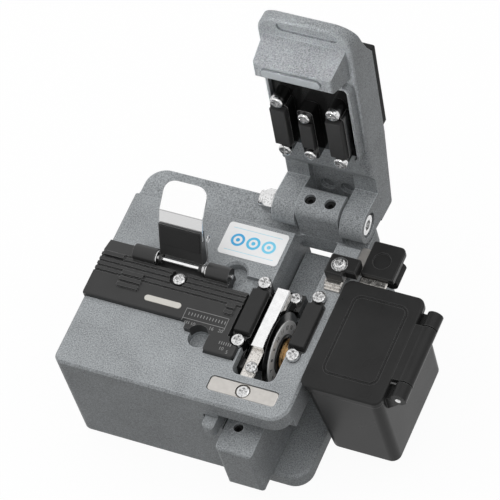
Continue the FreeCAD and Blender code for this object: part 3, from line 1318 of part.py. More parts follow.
def tray_shape(grow, z0, z1):
    """Rounded block of the tray's plan, grown outwards."""
    w = TRAY_W / 2 + grow
    return plate(PRESS_X - w, PRESS_X + w, TRAY_FRONT - grow, TRAY_BACK + grow, z0, z1, TRAY_R + grow)


def make_tray_plate():
    """Black plate on the tray's floor, pierced for the screws."""
    slab = tray_shape(-SEAT, tray_floor(), DECK + LID_INNER)
    for x, y in upper_screw_places() + anvil_screw_places():
        slab = slab.cut(screw_hole(x, y, tray_floor() - OVER, False, 2 * OVER + TRAY_PLATE_T))
    return opened(slab)


def upper_face():
    """Lowest face of the upper rubber pads when the lid is closed."""
    return FIBRE_Z + GAP


def upper_holder_zs():
    z0 = upper_face() + PAD_STAND
    return z0, tray_floor()


def anvil_zs():
    z0 = FIBRE_Z + ANVIL_ABOVE + ANVIL_PAD_T
    return z0, tray_floor()


def upper_screw_places():
    return [(x, FIBRE_Y + s * PAD_SCREW_REACH) for x in PAD_CENTRES for s in (-1, 1)]


def anvil_screw_places():
    return [(ANVIL_X, ANVIL_Y + s * ANVIL_SCREW_REACH) for s in (-1, 1)]


def long_top_edge(centre, edge):
    """Edges along both sides of the lid's top, behind the cover."""
    side = near(centre.x, LID_X0) or near(centre.x, LID_X1)
    behind = centre.y > COVER_BACK + COVER_MARGIN
    return side and behind and centre.z > DECK + LIP_TOP and not along(edge, Z_AXIS)


def make_lid():
    shell = side_prism(lid_profile(), LID_X0, LID_X1)
    radii = (LID_FRONT_R, LID_FRONT_R, LID_BACK_R, LID_BACK_R)
    plan = plate(LID_X0, LID_X1, LID_FRONT, LID_BACK, DECK, DECK + LID_TOP + OVER, radii)
    shell = shell.common(plan)
    shell = soften(shell, LID_EDGE_R, lambda c, e: flat_at(DECK + LID_INNER)(c, e) and c.y < TRAY_BACK)
    shell = soften(shell, LID_EDGE_R, long_top_edge)
    wall = tray_shape(TRAY_WALL, DECK + LID_INNER - TRAY_H, DECK + LID_INNER)
    wall = wall.cut(box(LID_X0, LID_X1, TRAY_BACK, TRAY_BACK + 2 * OVER, DECK, DECK + LID_INNER))
    lugs = [lug(LID_X0, BRIDGE_X0 - LUG_GAP), lug(BRIDGE_X1 + LUG_GAP, LID_X1)]
    lid = shell.fuse([wall, lid_wedge()] + lugs)
    slot_y = LID_FRONT + LIP_SLOT_IN
    w = LIP_SLOT_W / 2
    h = LIP_SLOT_L / 2
    inner = DECK + LID_INNER
    mid = PRESS_X + LIP_SLOT_SHIFT
    slot = plate(mid - h, mid + h, slot_y - w, slot_y + w, inner - OVER,
                 inner + LIP_SLOT_DEPTH, w * PILL)
    tools = [slot]
    tools.append(magnet_shape(SEAT, OVER))
    tools.append(rod(HINGE_R + RUN, V(LID_X0 - OVER, AXIS_Y, AXIS_Z), X_AXIS, LID_W + 2 * OVER))
    tools.append(rod(BOLT_POCKET_R, V(bolt_pocket_x() - LUG_GAP, AXIS_Y, AXIS_Z), X_AXIS, LID_X1))
    tools.append(tray_shape(0.0, DECK, DECK + LID_INNER))
    roof = DECK + BRIDGE_RECESS
    tools.append(box(BRIDGE_X0 - LUG_GAP, BRIDGE_X1 + LUG_GAP, TRAY_BACK + STEP_BACK, LID_BACK + OVER,
                     DECK, roof))
    for x in setscrew_places():
        tools.append(rod(RELIEF_R, V(x, AXIS_Y + RELIEF_SHIFT, roof - OVER), Z_AXIS, RELIEF_DEPTH + OVER))
    z = upper_holder_zs()
    for x, y in upper_screw_places():
        tools.append(screw_hole(x, y, z[0], False, z[1] - z[0] + UPPER_SCREW_IN))
    z = anvil_zs()
    for x, y in anvil_screw_places():
        tools.append(screw_hole(x, y, z[0], False, z[1] - z[0] + UPPER_SCREW_IN))
    return opened(cut_all(lid, tools).removeSplitter())


def make_magnet():
    return opened(magnet_shape())


def make_cover():
    z0 = DECK + LID_TOP - COVER_SINK
    top = z0 + COVER_T
    w = COVER_W / 2
    pad = box(PRESS_X - w, PRESS_X + w, COVER_FRONT, COVER_BACK, z0, top)
    pad = soften(pad, COVER_R, lambda c, e: along(e, Z_AXIS))
    front = lambda c, e: near(c.y, COVER_FRONT) and near(c.z, top)
    return opened(soften(pad, COVER_BEVEL, front, bevel=True))


def make_upper_holder(x):
    z0, z1 = upper_holder_zs()
    return opened(make_pad_holder(x, z0, z1, z0 + PAD_SINK, z0, False))


def make_upper_rubber(x):
    z0 = upper_holder_zs()[0]
    return opened(make_rubber(x, upper_face(), z0 + PAD_SINK, upper_face()))


def make_upper_screws():
    z0, z1 = upper_holder_zs()
    made = [cross_screw(x, y, z0, False, z1 - z0 + UPPER_SCREW_IN) for x, y in upper_screw_places()]
    z0, z1 = anvil_zs()
    for x, y in anvil_screw_places():
        made.append(cross_screw(x, y, z0, False, z1 - z0 + UPPER_SCREW_IN, ANVIL_HEAD_R))
    return group([opened(s) for s in made])


def make_anvil_block():
    """Block between the upper pads that carries the anvil's rubber."""
    z0, z1 = anvil_zs()
    w = ANVIL_W / 2 + PAD_CUP
    half = ANVIL_SCREW_REACH + HOLDER_END
    block = plate(ANVIL_X - w, ANVIL_X + w, ANVIL_Y - half, ANVIL_Y + half, z0, z1, ANVIL_CORNER)
    for x, y in anvil_screw_places():
        block = block.cut(screw_hole(x, y, z0 - OVER, False, z1 - z0 + 2 * OVER))
    return opened(block)


def make_anvil_pad():
    z0 = anvil_zs()[0]
    x0 = ANVIL_X - ANVIL_W / 2
    y0 = ANVIL_Y - ANVIL_L / 2
    pad = box(x0, x0 + ANVIL_W, y0, y0 + ANVIL_L, z0 - ANVIL_PAD_T, z0)
    return opened(soften(pad, ANVIL_EDGE_R, flat_at(z0 - ANVIL_PAD_T)))


# ---- collector ----------------------------------------------------------------------
def bin_loft(room, z0, z1):
    """Tapered tub between two levels; room moves its walls inwards."""
    lip = BIN_LID_LIP + room
    drop = (BIN_RIM_Z - z0) / BIN_DEPTH
    top = corner_wire(BIN_LEFT + lip, BIN_X1 - lip, BIN_FRONT + lip, BIN_BACK - lip, z1, (BIN_R,) * 4)
    inset = lip + BIN_TAPER * drop
    low = corner_wire(BIN_LEFT + lip + BIN_TAPER_LEFT * drop, BIN_X1 - lip, BIN_FRONT + inset,
                      BIN_BACK - inset, z0, (BIN_R,) * 4)
    return Part.makeLoft([low, top], True, True)


def knuckle_ys():
    """(front knuckle start, barrel start, barrel end, back knuckle end) along the bin's hinge."""
    y0 = BIN_FRONT + BIN_BARREL_FRONT
    y1 = BIN_BACK - BIN_BARREL_BACK
    return y0, y0 + BIN_KNUCKLE_L, y1 - BIN_KNUCKLE_L, y1


def make_bin():
    """Open tub with two hinge knuckles on its right side and a scrap slot in its left wall."""
    z0 = BIN_RIM_Z - BIN_DEPTH
    tub = bin_loft(0.0, z0, BIN_RIM_Z)
    tub = tub.cut(bin_loft(BIN_WALL, z0 + BIN_WALL, BIN_RIM_Z + 0.01))
    y0, y1, y2, y3 = knuckle_ys()
    wall = BIN_X1 - BIN_LID_LIP
    for a, b in ((y0, y1 - GAP), (y2 + GAP, y3)):
        eye = rod(BIN_BARREL_R, V(BIN_HINGE_X, a, BIN_HINGE_Z), Y_AXIS, b - a)
        pts = [V(wall - BIN_WALL / 2, a, BIN_RIM_Z - KNUCKLE_DROP), V(wall - BIN_WALL / 2, a, BIN_RIM_Z),
               V(BIN_HINGE_X, a, BIN_RIM_Z), V(BIN_HINGE_X + BIN_BARREL_R, a, BIN_HINGE_Z)]
        arm = Part.Face(Part.makePolygon(pts + pts[:1])).extrude(V(0, b - a, 0))
        tub = tub.fuse([eye, arm])
    tub = tub.cut(rod(BIN_PIN_R + SEAT, V(BIN_HINGE_X, y0 - OVER, BIN_HINGE_Z), Y_AXIS, y3 - y0 + 2 * OVER))
    slot = box(BIN_LEFT - OVER, BIN_LEFT + 2 * BIN_WALL + BIN_LID_LIP, FIBRE_Y - SCRAP_SLOT_L / 2,
               FIBRE_Y + SCRAP_SLOT_L / 2, BIN_RIM_Z - SCRAP_SLOT_H, BIN_RIM_Z + OVER)
    return tub.cut(slot).removeSplitter()


def make_bin_lid():
    """Flat lid with a grooved panel, a barrel on the bin's pin and a rim inside the tub."""
    z0 = BIN_RIM_Z + GAP
    z1 = DECK + BIN_LID_TOP
    lid = plate(BIN_LEFT, BIN_X1, BIN_FRONT, BIN_BACK, z0, z1, BIN_R)
    lid = soften(lid, EDGE_R, flat_at(z1))
    px0, px1 = BIN_LEFT + PANEL_LEFT, BIN_X1 - PANEL_RIGHT
    py0, py1 = BIN_FRONT + PANEL_FRONT, BIN_BACK - PANEL_BACK
    g = PANEL_GROOVE
    ring = plate(px0, px1, py0, py1, z1 - PANEL_GROOVE_DEPTH, z1 + OVER, BIN_R)
    ring = ring.cut(plate(px0 + g, px1 - g, py0 + g, py1 - g, z1 - OVER, z1 + 2 * OVER, BIN_R - g))
    lid = lid.cut(ring)
    y0, y1, y2, y3 = knuckle_ys()
    eye = rod(BIN_BARREL_R, V(BIN_HINGE_X, y1, BIN_HINGE_Z), Y_AXIS, y2 - y1)
    neck = box(BIN_X1 - OVER, BIN_HINGE_X, y1, y2, z0, BIN_HINGE_Z + LID_EYE_TOP)
    lid = lid.fuse([eye, neck])
    for a, b in ((y0 - GAP, y1), (y2, y3 + GAP)):
        lid = lid.cut(box(BIN_HINGE_X - BIN_BARREL_R - GAP, BIN_HINGE_X + OVER, a, b, z0 - OVER, z1 + OVER))
    lid = lid.cut(rod(BIN_PIN_R + RUN, V(BIN_HINGE_X, y0, BIN_HINGE_Z), Y_AXIS, y3 - y0))
    return lid.removeSplitter()


def make_bin_pin():
    y0, y1, y2, y3 = knuckle_ys()
    return rod(BIN_PIN_R, V(BIN_HINGE_X, y0 - PIN_OUT, BIN_HINGE_Z), Y_AXIS, y3 - y0 + 2 * PIN_OUT)


def bracket_mid_y():
    return BRACKET_Y + BRACKET_D / 2


def flange_screw_deep():
    return FLANGE_SCREW_L - BRACKET_TOP


def shim_top():
    return DECK + SHIM_COUNT * SHIM_T


def make_bracket():
    """Black block on the deck's side rail that holds the collector's arm."""
    block = plate(BRACKET_X, BRACKET_X + BRACKET_W, BRACKET_Y, BRACKET_Y + BRACKET_D, shim_top(),
                  DECK + BRACKET_TOP, BRACKET_R)
    block = block.cut(box(BRACKET_X + BRACKET_STEP_X, BRACKET_X + BRACKET_W + OVER, BRACKET_Y - OVER,
                          BRACKET_Y + BRACKET_STEP_Y, DECK, DECK + BRACKET_TOP + OVER))
    block = soften(block, BRACKET_BEVEL, flat_at(DECK + BRACKET_TOP), bevel=True)
    return block.cut(bracket_hole())


def bracket_hole():
    """Tool that drills the bracket and its shims for the screw."""
    start = V(BRACKET_X + FLANGE_SCREW_X, bracket_mid_y(), DECK - OVER)
    return rod(SCREW_SHANK_R + SEAT, start, Z_AXIS, BRACKET_TOP + 2 * OVER)


def make_bracket_screw():
    """Screw with a wide rim and a crossed head."""
    x = BRACKET_X + FLANGE_SCREW_X
    y = bracket_mid_y()
    z = DECK + BRACKET_TOP
    rim = rod(FLANGE_SCREW_R, V(x, y, z), Z_AXIS, FLANGE_SCREW_RIM)
    return cross_screw(x, y, z, shank=FLANGE_SCREW_L, head_r=FLANGE_SCREW_HEAD_R).fuse(rim)


def make_shims():
    """Thin plates under the bracket, each a step longer towards the front."""
    made = []
    for k in range(SHIM_COUNT):
        y0 = BRACKET_Y - SHIM_REACH - (SHIM_COUNT - 1 - k) * SHIM_STEP
        leaf = box(BRACKET_X + SHIM_IN, BRACKET_X + SHIM_W, y0, BRACKET_Y + BRACKET_D, DECK + k * SHIM_T,
                   DECK + (k + 1) * SHIM_T)
        made.append(leaf.cut(bracket_hole()))
    return group(made)


def arm_x0():
    return BRACKET_X + BRACKET_W + SEAT


def make_arm():
    """Black plate with a round recess, beside the bracket and behind the bin."""
    x0 = arm_x0()
    y0 = BRACKET_Y + ARM_BACK_SHIFT
    z1 = DECK + ARM_TOP
    arm = plate(x0, x0 + ARM_L, y0, y0 + ARM_D, z1 - ARM_T, z1, (ARM_R, ARM_R, ARM_CORNER, ARM_R))
    arm = soften(arm, ARM_BEVEL, flat_at(z1), bevel=True)
    recess = rod(ARM_RECESS_R, V(x0 + ARM_RECESS_X, y0 + ARM_RECESS_Y, z1 - ARM_RECESS_DEPTH), Z_AXIS, OVER)
    return arm.cut(recess)


def make_arm_plate():
    """Steel plate under the arm that reaches the housing and carries the drum."""
    x0 = RIGHT + SEAT
    y0 = BRACKET_Y + ARM_BACK_SHIFT
    z1 = DECK + ARM_TOP - ARM_T
    return plate(x0, arm_x0() + ARM_L - ARM_PLATE_IN, y0 + ARM_PLATE_IN, y0 + ARM_D - ARM_PLATE_BACK,
                 z1 - ARM_PLATE_T, z1, PLATE_R)


def make_drum():
    """Rubber drum under the arm, along Y."""
    z1 = DECK + ARM_TOP - ARM_T - ARM_PLATE_T
    x = arm_x0() + ARM_L - DRUM_R
    y0 = BRACKET_Y + ARM_BACK_SHIFT + DRUM_IN
    return rod(DRUM_R, V(x, y0, z1 - DRUM_R), Y_AXIS, DRUM_L)


def make_latch():
    """Steel latch leaf between the arm and the bin."""
    x0 = arm_x0() + LATCH_IN
    y1 = BRACKET_Y + ARM_BACK_SHIFT - SEAT
    z1 = DECK + LATCH_TOP
    return box(x0, x0 + LATCH_L, y1 - LATCH_W, y1, z1 - LATCH_T, z1)


# ---- all nodes ----------------------------------------------------------------------
def build():
    left, right = PAD_CENTRES
    return {
        "housing": make_housing(),
        "base_pad": make_base_pad(),
        "hinge_bolt": make_hinge_bolt(),
        "hinge_nut": make_hinge_nut(),
        "hinge_washer": make_hinge_washer(),
        "hinge_set_screws": make_set_screws(),
        "strike_plate": make_strike_plate(),
        "strike_plate_screw": make_strike_screw(),
        "fibre_holder": make_fibre_holder(),
        "fibre_holder_screw": cross_screw(FH_SCREW_X, FH_SCREW_Y, holder_screw_z()),
        "fibre_holder_insert": insert_shape(),
        "lower_left_pad_holder": make_lower_holder(left),
        "lower_right_pad_holder": make_lower_holder(right),
        "lower_left_pad": make_lower_rubber(left),
        "lower_right_pad": make_lower_rubber(right),
        "lower_pad_screws": make_lower_screws(),
        "rest_strip": make_strip(),
        "rest_strip_carrier": make_strip_carrier(),
        "rest_strip_screw": make_strip_screw(),
        "deck_label": make_label(),
        "clamp_rod": make_rod(),
        "clamp_rod_clips": make_clips(),
        "clamp_block": make_clamp_block(),
        "clamp_pad": make_clamp_pad(),
        "clamp_leaf": make_clamp_leaf(),
        "clamp_spring": make_spring(),
        "slide_rail": make_rail(),
        "slide_truck": make_truck(),
        "blade_carriage": make_carriage(),
        "carriage_tab_screw": make_tab_screw(),
        "blade_block": make_blade_block(),
        "blade_block_screw": make_blade_block_screw(),
        "blade_axle": make_axle(),
        "blade_bush": make_bush(),
        "blade": make_blade(),
        "blade_number_ring": make_number_ring(),
        "blade_hub": make_hub(),
        "lid": make_lid(),
        "lid_cover": make_cover(),
        "lid_magnet": make_magnet(),
        "upper_left_pad_holder": make_upper_holder(left),
        "upper_right_pad_holder": make_upper_holder(right),
        "upper_left_pad": make_upper_rubber(left),
        "upper_right_pad": make_upper_rubber(right),
        "upper_pad_base": make_tray_plate(),
        "anvil_block": make_anvil_block(),
        "anvil_pad": make_anvil_pad(),
        "upper_pad_screws": make_upper_screws(),
        "scrap_bin": make_bin(),
        "scrap_bin_lid": make_bin_lid(),
        "scrap_bin_pin": make_bin_pin(),
        "collector_bracket": make_bracket(),
        "collector_bracket_screw": make_bracket_screw(),
        "collector_shims": make_shims(),
        "collector_arm": make_arm(),
        "collector_arm_plate": make_arm_plate(),
        "collector_drum": make_drum(),
        "collector_latch": make_latch(),
    }


os.makedirs("parts", exist_ok=True)
for name, shape in build().items():
    if not shape.isValid():
        print("not valid:", name)
    shape.exportStep("parts/" + name + ".step")
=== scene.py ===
# %% [markdown]
# # A fibre cleaver, dressed for its picture
# The tool is a small cast box that scores and snaps optical fibre. Its solids come ready made from
# the CAD model, each in its true place, so this script gives them their finishes, adds the printed
# and moulded marks, and sets up the studio. Lengths are metres in the script and millimetres in the
# comments.

# %% Load the frame
import math

import bpy
from mathutils import Matrix, Vector


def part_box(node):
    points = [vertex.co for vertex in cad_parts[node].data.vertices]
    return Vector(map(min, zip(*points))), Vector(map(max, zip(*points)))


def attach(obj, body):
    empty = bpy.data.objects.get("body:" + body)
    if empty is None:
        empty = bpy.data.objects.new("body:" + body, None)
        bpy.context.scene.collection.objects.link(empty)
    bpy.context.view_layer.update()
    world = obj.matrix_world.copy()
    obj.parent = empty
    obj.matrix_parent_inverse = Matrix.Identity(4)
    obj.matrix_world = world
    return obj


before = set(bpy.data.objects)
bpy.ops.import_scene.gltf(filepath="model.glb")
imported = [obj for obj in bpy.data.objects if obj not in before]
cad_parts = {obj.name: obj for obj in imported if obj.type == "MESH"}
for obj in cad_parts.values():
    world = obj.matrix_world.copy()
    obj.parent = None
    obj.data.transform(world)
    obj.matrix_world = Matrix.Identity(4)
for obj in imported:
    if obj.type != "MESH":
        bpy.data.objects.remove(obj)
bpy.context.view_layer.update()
MM = 0.001

# %% [markdown]
# Places on the tool are read from the solids themselves, so every mark sits where its piece is. The
# helper below turns a piece's box into millimetres, which is the unit that the marks are drawn in.

# %% Read places from the solids
def box_mm(node):
    """Lowest and highest corner of a piece in millimetres."""
    low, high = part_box(node)
    return low / MM, high / MM


ring_low, ring_high = box_mm("blade_number_ring")
ring_centre = (ring_low + ring_high) / 2
ring_face = ring_high.x
ring_radius = (ring_high.y - ring_low.y) / 2
label_low, label_high = box_mm("deck_label")
label_mid = (label_low + label_high) / 2
print("blade centre, mm:", [round(v, 2) for v in ring_centre])

# %% [markdown]
# ## Finishes
# A finish on a real part is never one flat colour: cast paint has grain, ground steel has lines and
# moulded plastic has a faint orange peel. All of them are sums of noise, so the maths is written as
# plain Python. A small class wraps a socket, and each operator adds the Math node that it stands for.

# %% Shader maths as Python
class Wire:
    """A shader socket that can be added, subtracted, multiplied and divided."""

    def __init__(self, tree, socket):
        self.tree = tree
        self.socket = socket

    def maths(self, operation, first, second):
        node = self.tree.nodes.new("ShaderNodeMath")
        node.operation = operation
        for socket, value in zip(node.inputs, (first, second)):
            if isinstance(value, Wire):
                self.tree.links.new(value.socket, socket)
            else:
                socket.default_value = value
        return Wire(self.tree, node.outputs[0])

    def __add__(self, other):
        return self.maths("ADD", self, other)

    def __radd__(self, other):
        return self.maths("ADD", other, self)

    def __sub__(self, other):
        return self.maths("SUBTRACT", self, other)

    def __rsub__(self, other):
        return self.maths("SUBTRACT", other, self)

    def __mul__(self, other):
        return self.maths("MULTIPLY", self, other)

    def __rmul__(self, other):
        return self.maths("MULTIPLY", other, self)

    def __truediv__(self, other):
        return self.maths("DIVIDE", self, other)

    def __rtruediv__(self, other):
        return self.maths("DIVIDE", other, self)

    def __pow__(self, power):
        return self.maths("POWER", self, power)

    def __gt__(self, level):
        return self.maths("GREATER_THAN", self, level)

    def __lt__(self, level):
        return self.maths("LESS_THAN", self, level)

    def size(self):
        return self.maths("ABSOLUTE", self, 0.0)

    def clamped(self):
        return self.maths("MAXIMUM", self.maths("MINIMUM", self, 1.0), 0.0)


# %% [markdown]
# One method makes every other node: it takes the node's type, then its settings, then what feeds its
# sockets. The Finish class holds a material and its Principled shader, and the few patterns that
# several finishes share: noise, grain, stretched grinding lines and a rounded edge.

# %% One maker for every node
class Finish:
    """A material under construction."""

    def __init__(self, name, metallic=0.0, specular=0.5):
        self.material = bpy.data.materials.new(name)
        self.material.use_nodes = True
        self.tree = self.material.node_tree
        self.shader = self.tree.nodes["Principled BSDF"]
        self.shader.inputs["Metallic"].default_value = metallic
        self.shader.inputs["Specular IOR Level"].default_value = specular
        self.place = self.node("ShaderNodeTexCoord", out="Object")

    def node(self, kind, settings=None, inputs=None, out=0):
        made = self.tree.nodes.new(kind)
        for key, value in (settings or {}).items():
            if key == "stops":
                for element, (position, colour) in zip(self.stops(made, len(value)), value):
                    element.position = position
                    element.color = colour
            else:
                setattr(made, key, value)
        for key, value in (inputs or {}).items():
            self.feed(made.inputs[key], value)
        return Wire(self.tree, made.outputs[out])

    def stops(self, ramp, count):
        elements = ramp.color_ramp.elements
        while len(elements) < count:
            elements.new(1.0)
        return list(elements)

    def feed(self, socket, value):
        if isinstance(value, Wire):
            self.tree.links.new(value.socket, socket)
        else:
            socket.default_value = value

    def set(self, **values):
        """Feeds the shader: underscores in a name stand for spaces."""
        for key, value in values.items():
            self.feed(self.shader.inputs[key.replace("_", " ")], value)
        return self

    def noise(self, size_mm, detail=2.0, roughness=0.55, stretch=None, seed=0.0):
        """Noise whose grains are about size_mm across; stretch divides its frequency by axis."""
        place = self.place
        if stretch or seed:
            scale = [1.0 / s for s in (stretch or (1.0, 1.0, 1.0))]
            place = self.node("ShaderNodeMapping", None, {"Vector": place, "Location": (seed, seed, seed),
                                                         "Scale": scale})
        return self.node("ShaderNodeTexNoise", None, {"Vector": place, "Scale": 1.0 / (size_mm * MM),
                                                      "Detail": detail, "Roughness": roughness})

    def blend(self, mask, dark, light):
        """Colour between two colours."""
        return self.node("ShaderNodeMix", {"data_type": "RGBA"}, {0: mask, 6: dark, 7: light}, out=2)

    def rounded(self, radius_mm):
        """Normal that rounds the solid's sharp edges."""
        return self.node("ShaderNodeBevel", {"samples": 6}, {"Radius": radius_mm * MM})

    def edge(self, radius_mm):
        """1 on a sharp edge and 0 on a flat face."""
        true = self.node("ShaderNodeNewGeometry", out="True Normal")
        dot = self.node("ShaderNodeVectorMath", {"operation": "DOT_PRODUCT"},
                        {0: self.rounded(radius_mm), 1: true}, out="Value")
        return ((1.0 - dot) * 3.0).clamped()

    def bump(self, height, depth_mm, strength=1.0, radius_mm=0.0):
        """Normal of a relief depth_mm high, over rounded edges."""
        inputs = {"Height": height, "Distance": depth_mm * MM, "Strength": strength}
        if radius_mm:
            inputs["Normal"] = self.rounded(radius_mm)
        return self.node("ShaderNodeBump", None, inputs)


def shade(value, tint=(1.0, 1.0, 1.0)):
    """Grey of one brightness with a tint, as a colour."""
    return (value * tint[0], value * tint[1], value * tint[2], 1.0)


COOL = (0.955, 1.005, 1.04)
WARM = (1.04, 1.0, 0.95)
print("finish tools ready")

# %% [markdown]
# ### Cast paint
# The body, the lid and the carriage are die castings under a sandy grey paint with metal flake. Three
# sizes of noise make it: soft clouds, the sandy grain that also stands up as relief, and rare bright
# flakes. Edges are a touch lighter, partly because paint thins there and partly as a painted highlight.

# %% Cast paint
FLAKE = 0.34


def cast_paint(name, level, grain_mm):
    f = Finish(name, specular=0.3)
    clouds = f.noise(9.0, 3.0)
    grain = f.noise(grain_mm, 3.0, 0.65)
    cells = {"Vector": f.place, "Scale": 1.0 / (FLAKE * MM)}
    flake = f.node("ShaderNodeTexVoronoi", None, cells, out="Distance")
    flakes = ((0.3 - flake) * 4.0).clamped()
    tone = (grain - 0.5) * 2.1 + (clouds - 0.5) * 0.4 + flakes * 0.4 + 0.4
    colour = f.blend(tone.clamped(), shade(level * 0.45, COOL), shade(level * 1.75, COOL))
    # lighter edges: partly thin worn paint, partly a painted highlight where the edge catches light
    colour = f.blend(f.edge(0.5) * 0.7, colour, shade(level * 2.3, COOL))
    f.set(Base_Color=colour, Roughness=0.4 + grain * 0.22)
    f.set(Normal=f.bump(grain, 0.06, 0.6, 0.3))
    return f.material


paint = cast_paint("cast_paint", 0.34, 0.33)
print("made", paint.name)

# %% [markdown]
# ### Blacks
# Six blacks sit side by side, and only their gloss tells them apart: dull pads, a duller rubber sheet,
# satin anodising on the fibre holder, glossy pad holders, moulded plastic on the scrap bin and oxide on
# the set screws. One recipe makes them all from a brightness, a roughness and a grain, and each can take
# a lighter line along its edges, which is a painted highlight.

# %% Blacks
def black(name, level, roughness, grain_mm, depth_mm, edge_mm=0.25, specular=0.5, edge_highlight=0.0, highlight_grey=0.12):
    f = Finish(name, specular=specular)
    grain = f.noise(grain_mm, 2.0)
    clouds = f.noise(7.0, 2.0)
    tone = ((grain - 0.5) * 0.8 + (clouds - 0.5) * 0.8 + 0.5).clamped()
    colour = f.blend(tone, shade(level * 0.75), shade(level * 1.3))
    # a lighter line along the edges: a painted highlight
    if edge_highlight:
        colour = f.blend(f.edge(edge_mm) * edge_highlight, colour, shade(highlight_grey))
    f.set(Base_Color=colour, Roughness=(clouds - 0.5) * 0.12 + roughness)
    f.set(Normal=f.bump(grain, depth_mm, 0.5, edge_mm))
    return f.material


rubber = black("pad_rubber", 0.036, 0.75, 0.18, 0.012, 0.15, 0.2)
sheet_rubber = black("sheet_rubber", 0.022, 0.8, 0.3, 0.02, 0.2, 0.2)
anodised = black("anodised_black", 0.028, 0.34, 0.14, 0.01, 0.1, 0.4, 1.0, 0.5)
gloss_black = black("gloss_black", 0.006, 0.16, 0.8, 0.01, 0.3, 0.5, 0.6, 0.3)
moulded = black("moulded_black", 0.024, 0.3, 0.16, 0.012, 0.3, 0.14, 0.8, 0.17)
oxide = black("oxide_black", 0.02, 0.3, 0.3, 0.01, 0.1)
print("made", len([rubber, sheet_rubber, anodised, gloss_black, moulded, oxide]), "blacks")

# %% [markdown]
# ### Metals
# Small plated screws are not even mirrors: they pick up dirt in the cross.
# Their relief is coarse for their size, which breaks the reflection into bright and dark patches, and the
# colour is made darker along the edges. Ground plates get fine lines along X instead, by
# stretching the noise.

# %% Metals
def metal(name, colour, roughness, dent_mm, depth_mm, lines=None, edge_mm=0.12, dirt=0.0, dark_edges=0.0):
    f = Finish(name, metallic=1.0)
    dents = f.noise(dent_mm, 2.0, 0.5, lines)
    haze = f.noise(1.6, 2.0)
    low = tuple(c * 0.82 for c in colour[:3]) + (1.0,)
    base = f.blend(((haze - 0.5) * 1.4 + 0.6).clamped(), low, colour)
    if dirt:
        spots = ((f.noise(0.5, 3.0, 0.6, None, 0.3) - 0.52) * 9.0).clamped()
        base = f.blend(spots * dirt, base, shade(0.05, WARM))
    # the colour is made darker along the edges
    if dark_edges:
        base = f.blend(f.edge(edge_mm) * dark_edges, base, shade(0.04))
    f.set(Base_Color=base, Roughness=((dents - 0.5) * 0.25 + roughness).clamped())
    f.set(Normal=f.bump(dents, depth_mm, 0.6, edge_mm))
    return f.material


screw_plate = metal("plated_screw", shade(0.80), 0.16, 0.42, 0.07, None, 0.15, 0.6, 0.4)
nut_plate = metal("nut_plate", shade(0.84), 0.12, 1.4, 0.16, None, 0.3, 0.3, 0.7)
ground = metal("ground_nickel", shade(0.62, WARM), 0.34, 0.3, 0.012, (12.0, 1.0, 1.0), 0.3)
polished = metal("polished_steel", shade(1.0), 0.26, 0.3, 0.003, (12.0, 1.0, 1.0), 0.12)
rail_steel = metal("rail_steel", shade(0.55), 0.3, 0.25, 0.01, (1.0, 14.0, 1.0))
brass = metal("turned_brass", (0.58, 0.36, 0.16, 1.0), 0.24, 0.14, 0.01, (1.0, 8.0, 8.0), 0.15, 0.3)
nickel_step = metal("nickel_casting", shade(0.74, WARM), 0.18, 1.1, 0.12, None, 0.4, 0.4, 0.5)
magnet_plate = metal("magnet_plate", shade(0.46, COOL), 0.5, 0.3, 0.012, None, 0.4, 0.0, 1.0)
print("made metals")

# %% [markdown]
# The clamp's finger leaf is bright sheet. Above its fold it mirrors the sky, and below the fold the
# short neck is given a darker colour, with a thin line of painted shade in the crease where the sheet
# turns.

# %% Finger leaf
leaf_high = box_mm("clamp_leaf")[1]
LEAF_RISE = 4.7
fold_height = leaf_high.z - LEAF_RISE


def leaf_finish():
    f = Finish("folded_leaf", metallic=1.0)
    rise = f.node("ShaderNodeSeparateXYZ", None, {0: f.place}, out="Z") / MM - fold_height
    lines = f.noise(0.3, 2.0, 0.5, (12.0, 1.0, 1.0))
    # painted shade: a thin dark line in the crease where the sheet turns
    crease_shade = (1.0 - rise.size() * 7.0).clamped()
    colour = f.blend((rise * 8.0).clamped(), shade(0.7), shade(1.0))
    colour = f.blend(crease_shade * 0.7, colour, shade(0.1))
    f.set(Base_Color=colour, Roughness=0.22 + lines * 0.06)
    f.set(Normal=f.bump(lines, 0.002, 0.5, 0.12))
    return f.material


leaf_steel = leaf_finish()
print("leaf folds at", round(fold_height, 1), "mm")

# %% [markdown]
# The blade is a disc of hard metal with a wide ground bevel. Turned or ground discs reflect in a
# bow-tie, because their lines run round the axis. The disc is coloured dark grey and the bevel near
# black, a painted reflection of the dark parts around it that a mirror would show.

# %% Blade steel
def blade_finish():
    f = Finish("blade_steel", metallic=1.0)
    parts = f.node("ShaderNodeSeparateXYZ", None, {0: f.place}, out="Y")
    up = f.node("ShaderNodeSeparateXYZ", None, {0: f.place}, out="Z")
    across = parts - ring_centre.y * MM
    rise = up - ring_centre.z * MM
    radius = (across * across + rise * rise) ** 0.5
    along = {"W": radius / (0.05 * MM), "Scale": 1.0}
    lines = f.node("ShaderNodeTexNoise", {"noise_dimensions": "1D"}, along)
    # near-black colour on the bevel outside the ring: a painted reflection of the dark surroundings
    body = ((radius / MM - (ring_radius + 0.25)) * 20.0).clamped()
    f.set(Base_Color=f.blend(body, shade(0.16), shade(0.07)), Roughness=0.2 - body * 0.04)
    f.set(Normal=f.bump(lines, 0.004, 0.4, 0.08))
    return f.material


blade_steel = blade_finish()
print("made", blade_steel.name)

# %% [markdown]
# ### White ring, white insert and label
# The ring on the blade is a printed white film, the insert in the holder is a cream pill, and the
# label is glossy film with a small generic drawing: three blue targets on a pale ground, between two
# thin lines. The drawing is maths on the piece's own coordinates, so no picture is needed.

